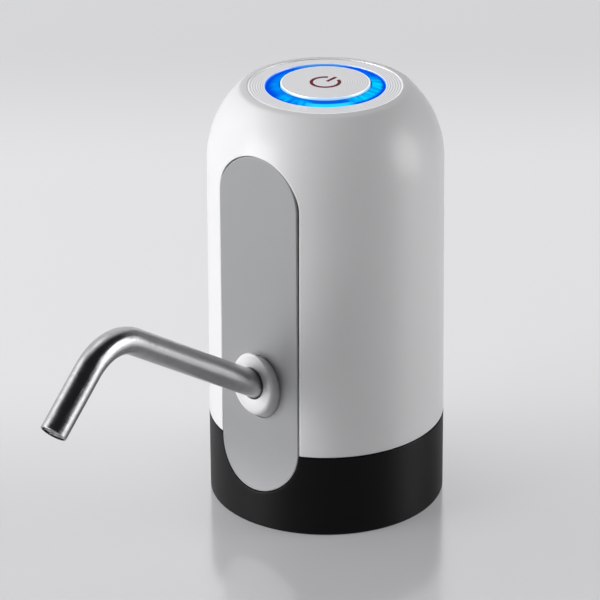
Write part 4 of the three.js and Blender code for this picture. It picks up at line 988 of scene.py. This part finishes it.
# %% Spout screen
screen_radius, wire_radius, wire_pitches, screen_depth = 3.35, 0.11, (1.15, 2.3), 0.5
screen_turn = math.radians(-7)
wires = []
for crossing, pitch in enumerate(wire_pitches):
    other_pitch = wire_pitches[1 - crossing]
    lanes = int((screen_radius - wire_radius) / pitch)
    for lane in range(-lanes, lanes + 1):
        half = math.sqrt(screen_radius**2 - (lane * pitch)**2)
        wire = add_ring("wire", wire_radius, (-half, lane * pitch, 0), (0, math.pi / 2, 0), 8)
        bpy.ops.object.mode_set(mode="EDIT")
        steps = max(2, round(2 * half / (other_pitch / 4)))
        height = 0.0
        for step in range(1, steps + 1):
            x = -half + 2 * half * step / steps
            wave = wire_radius * math.cos(math.pi * (x / other_pitch + lane + crossing))
            extrude_ring((2 * half / steps * mm, 0, (wave - height) * mm))
            height = wave
        bpy.ops.object.mode_set(mode="OBJECT")
        wire.data.transform(Matrix.Rotation(math.pi / 2 * crossing, 4, "Z"))
        wires.append(wire)
screen = join(*wires)
screen.name = "spout_screen_weave"
into_mouth = Matrix.Translation((mouth - down * screen_depth) * mm)
screen.data.transform(
    into_mouth @ down.to_track_quat("Z", "X").to_matrix().to_4x4() @ Matrix.Rotation(screen_turn, 4, "Z"))
activate(screen)
bpy.ops.object.mode_set(mode="EDIT")
bpy.ops.mesh.select_all(action="SELECT")
bpy.ops.mesh.fill_holes(sides=8)
finish_edit()
mesh_steel = Finish("woven_wire_steel", base_color=(0.55, 0.55, 0.55), metallic=1.0)
mesh_steel.set("Roughness", mesh_steel.noise(2000, 2) * 0.2 + 0.35)
smooth(screen, 60)
finish_piece(screen, mesh_steel, "spout", "spout_steel", "spout_screen")

# %% [markdown]
# ## Top plate and button
# Both are aluminium, faced on a lathe. The plate is a ring with a thin raised rim, and the button
# is a disc with a softened edge, so both are turned here from their sections.

# %% Top plate and button
plate_outer, plate_inner, light_outer, button_radius = 23.12, 18.0, 17.8, 13.35
plate_top, button_top, metal_thickness, button_face = 131.59, 132.79, 1.2, 132.75
rim_width, rim_rise = 0.42, 0.12
plate = turned("top_plate_ring", rounded(
    [(plate_inner, plate_top - metal_thickness), (plate_outer, plate_top - metal_thickness),
     (plate_outer, plate_top + rim_rise), (plate_outer - rim_width, plate_top + rim_rise),
     (plate_outer - rim_width - 0.05, plate_top), (plate_inner, plate_top + 0.18)],
    {2: 0.05, 3: 0.04, 5: 0.2}), 192)
button_under = button_top - metal_thickness
button = turned("power_button_cap", [(on_axis, button_under)] + rounded(
    [(button_radius, button_under), (button_radius, button_face), (on_axis, button_face)], {1: 0.14}),
    160, closed=False)
print("plate and button:", len(plate.data.polygons), "and", len(button.data.polygons), "faces")

# %% [markdown]
# ## Turned aluminium
# The lathe leaves fine rings round the centre: a sine of the radius tilts the surface, and it also colours
# the rings light and dark, as painted light and shade of the grooves. The rims are polished, and their colour
# is raised almost to white: a painted highlight that draws them as thin bright lines. Where the metal meets
# the light ring, a little blue emission lies on its edge: painted light that stands in for the ring's light.

# %% Turned aluminium
groove_pitch = 0.75


def turned_metal(name, colors, edge, painted_ring_light_color, painted_ring_light_place):
    """Aluminium with lathe rings painted light and dark, a polished edge painted almost white as a highlight,
    and painted blue light beside the light ring.
    """
    metal = Finish(name, metallic=0.92)
    radius = metal.radius()
    groove = (radius * (2 * math.pi / (groove_pitch * mm))).math("SINE") * 0.5 + 0.5
    # The polished rim is coloured almost white: partly a polished edge, partly a painted highlight.
    polish_and_painted_highlight = radius.ramp((edge - 0.06) * mm, edge * mm)
    # The rings' two colours are painted light and shade of the grooves.
    metal.set("Base Color", metal.mix(polish_and_painted_highlight, metal.mix(groove, *colors), (0.98, 0.98, 0.985)))
    metal.set("Roughness", metal.noise(400, 2) * 0.08 + groove * 0.06 + 0.28)
    metal.bump(groove * (1 - polish_and_painted_highlight), 0.015 * mm, 0.6)
    # Blue emission on the edge next to the light ring: painted light from the ring.
    metal.set("Emission Color", metal.mix(radius.near(*in_metres(painted_ring_light_place)), (0, 0, 0), painted_ring_light_color))
    metal.set("Emission Strength", 1.0)
    return metal


plate_metal = turned_metal(
    "turned_aluminium_plate", ((0.52, 0.52, 0.528), (0.86, 0.86, 0.868)), plate_outer - rim_width,
    (0.03, 0.17, 0.6), (plate_inner, 0.7))
button_metal = turned_metal(
    "turned_aluminium_button", ((0.59, 0.59, 0.598), (0.77, 0.77, 0.778)), button_radius - 0.3,
    (0.3, 0.45, 0.65), (button_radius, 0.3))
smooth(plate)
smooth(button)
finish_piece(plate, plate_metal, "housing", "disc_metal", "top_plate")
finish_piece(button, button_metal, "button", "disc_metal", "power_button")

# %% [markdown]
# ## Light ring
# Between the plate and the button lies a ring of clear acrylic over blue lamps. It slopes down
# outwards, so that its light reaches the eye from the side as well as from above.

# %% Light ring
ring_inner, ring_low, ring_crest = 13.65, 127.6, 15.7
light = turned("light_ring_lens", rounded(
    [(ring_inner, ring_low), (light_outer, ring_low), (light_outer, plate_top - 0.1),
     (ring_crest, plate_top + 0.35), (ring_inner, plate_top + 0.6)], {2: 0.25, 3: 1.2}), 192)
smooth(light)
print("light ring:", len(light.data.polygons), "faces")

# %% [markdown]
# ## Lit acrylic
# The lamps sit under the ring, so its light isn't even. It is deep blue, and where most light
# leaves it, it turns to cyan: in a wide patch at the outer edge in front, and in fans of spokes
# on both sides. Each patch is a mask of the angle round the ring times a mask of the place across
# it, and the patches are laid over each other in order. They are fixed on the ring.

# %% Lit acrylic
spoke_count, spoke_length = 10.0, 160.0
glow = Finish(
    "lit_blue_acrylic", base_color=(0.0, 0.01, 0.05), roughness=0.4, specular_ior_level=0.01, ior=1.03)
x, y, _ = glow.axes()
radius = glow.radius()
across_ring = (radius - ring_inner * mm) * (1 / ((light_outer - ring_inner) * mm))
spokes = glow.node(
    "ShaderNodeCombineXYZ", {}, {0: y.math("ARCTAN2", x) * spoke_count, 1: radius * spoke_length})
streaks = glow.noise(1.0, 2, spokes).ramp(0.35, 0.65)


def towards(degrees, low, high):
    """1 where the ring faces a direction, measured round it from the pump's front to the right."""
    turn = math.radians(degrees)
    cosine = (x * math.sin(turn) - y * math.cos(turn)) / radius
    return cosine.ramp(math.cos(math.radians(low)), math.cos(math.radians(high)))


inside_edge = 1 - across_ring.ramp(0.82, 0.95)
patches = {
    "left fan": (
        towards(-37.3, 62, 25) * across_ring.ramp(0.85, 0.3) * (0.3 + streaks * 0.6), (0.0, 0.3, 0.95)),
    "front fan": (
        towards(3.7, 30, 8) * across_ring.ramp(0.15, 0.5) * inside_edge * (0.25 + streaks * 0.65),
        (0.0, 0.5, 1.0)),
    "right fan": (
        towards(107.7, 50, 32) * across_ring.ramp(0.9, 0.62) * (0.4 + streaks * 0.6), (0.0, 0.66, 1.0)),
    "bright band": (towards(41.7, 30, 14) * across_ring.ramp(0.45, 0.62), (0.02, 0.68, 0.98)),
    "shade behind it": (towards(41.7, 30, 14) * across_ring.near(0.3, 0.25) * 0.7, (0.0, 0.1, 0.7)),
    "back band": (towards(221.7, 32, 12) * across_ring.ramp(0.35, 0.55) * 0.8, (0.03, 0.28, 0.52)),
    "shade at the button": (across_ring.near(0.0, 0.1), (0.0, 0.12, 0.3)),
}
color = glow.mix(across_ring.ramp(0.9, 0.2), (0.0, 0.07, 0.72), (0.0, 0.15, 0.86))
for mask, patch_color in patches.values():
    color = glow.mix(mask, color, patch_color)
glow.set("Emission Color", color)
glow.set("Emission Strength", 1.0)
finish_piece(light, glow, "housing", "light_blue", "light_ring")

# %% [markdown]
# ## Power sign
# The button carries the usual power sign: an open ring with a bar through its gap. It is printed
# in dark red, so it is a very thin piece of its own, a hair above the metal. A flat ring loses the
# faces in its gap, and a plane is stretched to the bar.

# %% Power sign
sign_outer, sign_line, gap_angle = 4.7, 1.0, math.radians(27)
sign_low, sign_thickness = button_top - 0.06, 0.05
bar_low, bar_high = 0.8, 5.2
sign = add_ring("power_sign", sign_outer, (0, 0, sign_low), sides=120)
bpy.ops.object.mode_set(mode="EDIT")
extrude_ring((0, 0, 0))
shrink = (sign_outer - sign_line) / sign_outer
bpy.ops.transform.resize(value=(shrink, shrink, 1), center_override=(0, 0, sign_low * mm))
bpy.ops.mesh.select_all(action="DESELECT")
bpy.ops.object.mode_set(mode="OBJECT")
for face in sign.data.polygons:
    face.select = abs(math.atan2(face.center.x, face.center.y)) < gap_angle
activate(sign)
bpy.ops.object.mode_set(mode="EDIT")
bpy.ops.mesh.select_mode(type="FACE")
bpy.ops.mesh.delete(type="FACE")
bpy.ops.mesh.select_mode(type="VERT")
bar_middle = in_metres((0, (bar_low + bar_high) / 2, sign_low))
bpy.ops.mesh.primitive_plane_add(size=1 * mm, location=bar_middle)
bpy.ops.transform.resize(value=(sign_line, bar_high - bar_low, 1), center_override=bar_middle)
extrude_all(sign, (0, 0, sign_thickness))
red = Finish("printed_dark_red", roughness=0.6, specular_ior_level=0.1)
red.set("Base Color", red.mix(red.noise(1500, 2), (0.2, 0.012, 0.035), (0.28, 0.02, 0.05)))
finish_piece(sign, red, "button", "disc_metal")

# %% [markdown]
# ## Pieces under the base
# Seen from below, the socket is lined with a milky silicone sleeve and holds the rim pad, the hose
# fitting and four screws. The sleeve and pad are turned again with soft ribs. The fitting and the
# screws keep their CAD shapes.

# %% Sleeve and pad
sleeve_outer, sleeve_inner, rib_inner, sleeve_foot, sleeve_top = 29.1, 27.5, 27.1, 0.5, 22.4
pad_outer, pad_inner, pad_low, rib_count = 27.2, 20.7, 20.9, 2
silicone = Finish("milky_silicone", base_color=(0.62, 0.65, 0.66), roughness=0.45, subsurface_weight=0.2)
silicone.set("Roughness", silicone.noise(300, 3) * 0.15 + 0.4)
silicone.bump(silicone.noise(1200, 2), 0.03 * mm, 0.3)
sleeve_profile = [(sleeve_outer, sleeve_foot), (27.9, sleeve_foot), (sleeve_inner, 1.0)]
sleeve_radii = {1: 0.15}
for rib in range(1, rib_count + 1):
    middle = sleeve_foot + rib * (pad_low - sleeve_foot) / (rib_count + 1)
    sleeve_profile += [(sleeve_inner, middle - 0.5), (rib_inner, middle), (sleeve_inner, middle + 0.5)]
    sleeve_radii[len(sleeve_profile) - 2] = 0.3
sleeve_profile += [(sleeve_inner, sleeve_top), (sleeve_outer, sleeve_top)]
sleeve = smooth(turned("neck_sleeve_ribbed", rounded(sleeve_profile, sleeve_radii)))
finish_piece(sleeve, silicone, "housing", "clear_silicone", "neck_sleeve")
pad = smooth(turned("rim_pad_ring", rounded(
    [(pad_outer, pad_low), (pad_inner, pad_low), (pad_inner, sleeve_top), (pad_outer, sleeve_top)],
    {0: 0.4, 1: 0.4, 2: 0.2, 3: 0.2})))
finish_piece(pad, silicone, "housing", "clear_silicone", "rim_pad")

# %% [markdown]
# ## The remaining CAD pieces
# The pieces inside are hidden, but each still gets a real finish, because the model can be opened.
# A short table names the finish of each kind.


# %% Finishes of the inner pieces
def simple_finish(name, color, roughness, metallic=0.0, grain=600):
    """A plain finish whose colour and gloss vary a little, with a fine bump."""
    finish = Finish(name, base_color=color, roughness=roughness, metallic=metallic)
    clouds = finish.noise(grain, 3)
    darker = tuple(c * 0.88 for c in color)
    finish.set("Base Color", finish.mix(clouds, darker, color))
    finish.set("Roughness", clouds * 0.12 + (roughness - 0.06))
    finish.bump(clouds, 0.02 * mm, 0.25)
    return finish


inner_finishes = {
    "natural_nylon": (((0.68, 0.67, 0.62), 0.5), (
        "spout_socket", "inlet_fitting", "inlet_nut", "chamber_plate", "wobble_plate", "crank", "chassis")),
    "soft_silicone": (((0.6, 0.63, 0.65), 0.5), ("inlet_hose", "outlet_hose", "valve_sheet")),
    "black_rubber": (((0.02, 0.02, 0.02), 0.7), ("spout_oring_outer", "spout_oring_inner", "diaphragm")),
    "white_moulding": (((0.8, 0.8, 0.79), 0.4), ("button_frame", "button_carrier", "motor_end_cap")),
    "black_moulding": (((0.015, 0.015, 0.016), 0.45), (
        "pump_head", "pump_housing", "tact_switch", "switch_plunger", "control_chip")),
    "circuit_board": (((0.015, 0.12, 0.05), 0.4), ("button_board", "control_board")),
    "lamp_resin": (((0.75, 0.7, 0.4), 0.35), ("led_1", "led_2", "led_3", "led_4")),
    "plated_steel": (((0.55, 0.55, 0.55), 0.35, 1.0), ("motor_can", "charging_port")),
    "zinc_plated_screw": (((0.6, 0.6, 0.58), 0.35, 1.0), (
        "base_screw_1", "base_screw_2", "base_screw_3", "base_screw_4",
        "socket_screw_left", "socket_screw_right",
        "pump_screw_1", "pump_screw_2", "pump_screw_3", "board_screw_left", "board_screw_right")),
    "ferrite_magnet": (((0.05, 0.05, 0.055), 0.6), ("motor_magnet_left", "motor_magnet_right")),
    "copper_windings": (((0.5, 0.2, 0.08), 0.4, 1.0), ("motor_rotor",)),
    "blue_cell_wrap": (((0.03, 0.12, 0.45), 0.35), ("battery_cell",)),
    "red_lead": (((0.45, 0.02, 0.02), 0.45), ("motor_lead_red", "battery_lead_top")),
    "black_lead": (((0.02, 0.02, 0.02), 0.45), ("motor_lead_black", "battery_lead_bottom")),
    "white_lead": (((0.75, 0.75, 0.73), 0.45), ("button_cable",)),
}
for name, (values, nodes) in inner_finishes.items():
    finish = simple_finish(name, *values)
    for node in nodes:
        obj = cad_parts[node]
        obj.data.materials.clear()
        obj.data.materials.append(finish.material)
print("finished", sum(len(nodes) for _, nodes in inner_finishes.values()), "CAD pieces")

# %% [markdown]
# ## Studio walls
# The pump stands in a studio with pale walls. The camera and reflections see them pale on one side
# and dark on the other, as if a large white card stood behind the pump. For all other light they
# are weak, so that the lamps alone shape the body.

# %% Studio walls
wall_light, dark_side, pale_side = 0.12, 0.02, 1.0
card_rise, card_turn = math.radians(27), camera_side + math.radians(-158)
card_starts, card_full = 0.5, 0.84


def seen_rays(nodes):
    """1 for what the camera sees, straight or in a reflection, and 0 for all other light."""
    rays = nodes.node("ShaderNodeLightPath", {}, {}).socket.node.outputs
    return Value(nodes, rays["Is Camera Ray"]).math("MAXIMUM", Value(nodes, rays["Is Glossy Ray"]))


sky = bpy.data.worlds.new("studio")
scene.world = sky
sky.use_nodes = True
walls = Nodes(sky.node_tree)
to_card = (
    math.sin(card_turn) * math.cos(card_rise), -math.cos(card_turn) * math.cos(card_rise),
    math.sin(card_rise),
)
direction = walls.node("ShaderNodeTexCoord", {}, {}, "Generated")
facing = walls.node("ShaderNodeVectorMath", {"operation": "DOT_PRODUCT"}, {0: direction, 1: to_card}, "Value")
paleness = facing.ramp(card_starts, card_full) * (pale_side - dark_side) + dark_side
strength = seen_rays(walls) * (paleness - wall_light) + wall_light
studio_air = sky.node_tree.nodes["Background"]
walls.feed(studio_air.inputs["Color"], (0.98, 0.98, 1.0))
walls.feed(studio_air.inputs["Strength"], strength)
print("studio walls:", len(sky.node_tree.nodes), "nodes")

# %% [markdown]
# ## Table
# The table is glossy and pale, and mirrors the pump softly. The grey that the camera and
# reflections see is partly light that the table gives off itself. It is darker at the far end and
# towards the front edge than in the middle, and fixed on the table. All other light finds a plain
# grey without it, so the pump isn't lit from below and its shadow stays.

# %% Table
near_side = math.radians(37.7)
far_end, far_middle, near_middle, near_end = -0.4, -0.25, -0.07, 0.05
clear_selection()
bpy.ops.mesh.primitive_plane_add(size=6, location=(0, 0, -0.0001))
table = bpy.context.object
table.name = "studio_table"
table_gloss = Finish(
    "pale_gloss_table", base_color=(0.5, 0.5, 0.505), roughness=0.16, specular_ior_level=1.0, coat_weight=1.0,
    coat_roughness=0.16, coat_ior=1.6)
seen = seen_rays(table_gloss)
x, y, _ = table_gloss.axes()
to_near_edge = x * math.sin(near_side) - y * math.cos(near_side)
far_half = table_gloss.mix(
    to_near_edge.ramp(far_end, far_middle), (0.205, 0.205, 0.211), (0.328, 0.328, 0.334))
sheen = table_gloss.mix(to_near_edge.ramp(near_middle, near_end), far_half, (0.2, 0.2, 0.206))
table_gloss.set("Base Color", table_gloss.mix(seen, (0.42, 0.42, 0.425), (0.5, 0.5, 0.505)))
table_gloss.set("Emission Color", table_gloss.mix(seen, (0.0, 0.0, 0.0), sheen))
table_gloss.set("Emission Strength", 1.0)
table.data.materials.append(table_gloss.material)

# %% [markdown]
# ## Lamps
# Four softboxes stand a metre away. A large one on the left makes the bright side, and one on the
# right fills the other. Between them the body falls to a soft grey. A small one behind on the left
# draws the second bright band on the spout, and a weak one above the back lifts the shoulder.

# %% Lamps
lamp_distance, lamp_target = 1.0, Vector((0, 0, 0.07))


def softbox(name, turn, rise, width, height, power):
    """A rectangular lamp that faces the pump. turn is measured round it from the camera, to the right."""
    data = bpy.data.lights.new(name, "AREA")
    data.shape = "RECTANGLE"
    data.size, data.size_y = width, height
    data.energy = power
    lamp = bpy.data.objects.new(name, data)
    scene.collection.objects.link(lamp)
    around = camera_side + math.radians(turn)
    up = math.radians(rise)
    direction = Vector((math.sin(around) * math.cos(up), -math.cos(around) * math.cos(up), math.sin(up)))
    lamp.location = lamp_target + direction * lamp_distance
    lamp.rotation_mode = "QUATERNION"
    lamp.rotation_quaternion = (-direction).to_track_quat("-Z", "Y")
    print(f"{name}: {width} x {height} m, {power} W")


softbox("left_softbox", -69, 7, 0.66, 0.9, 11.9)
softbox("rim_softbox", -105, 31, 0.5, 0.45, 1.3)
softbox("right_softbox", 85, 0, 0.52, 1.06, 8.9)
softbox("top_softbox", -145, 58, 0.4, 0.4, 0.7)
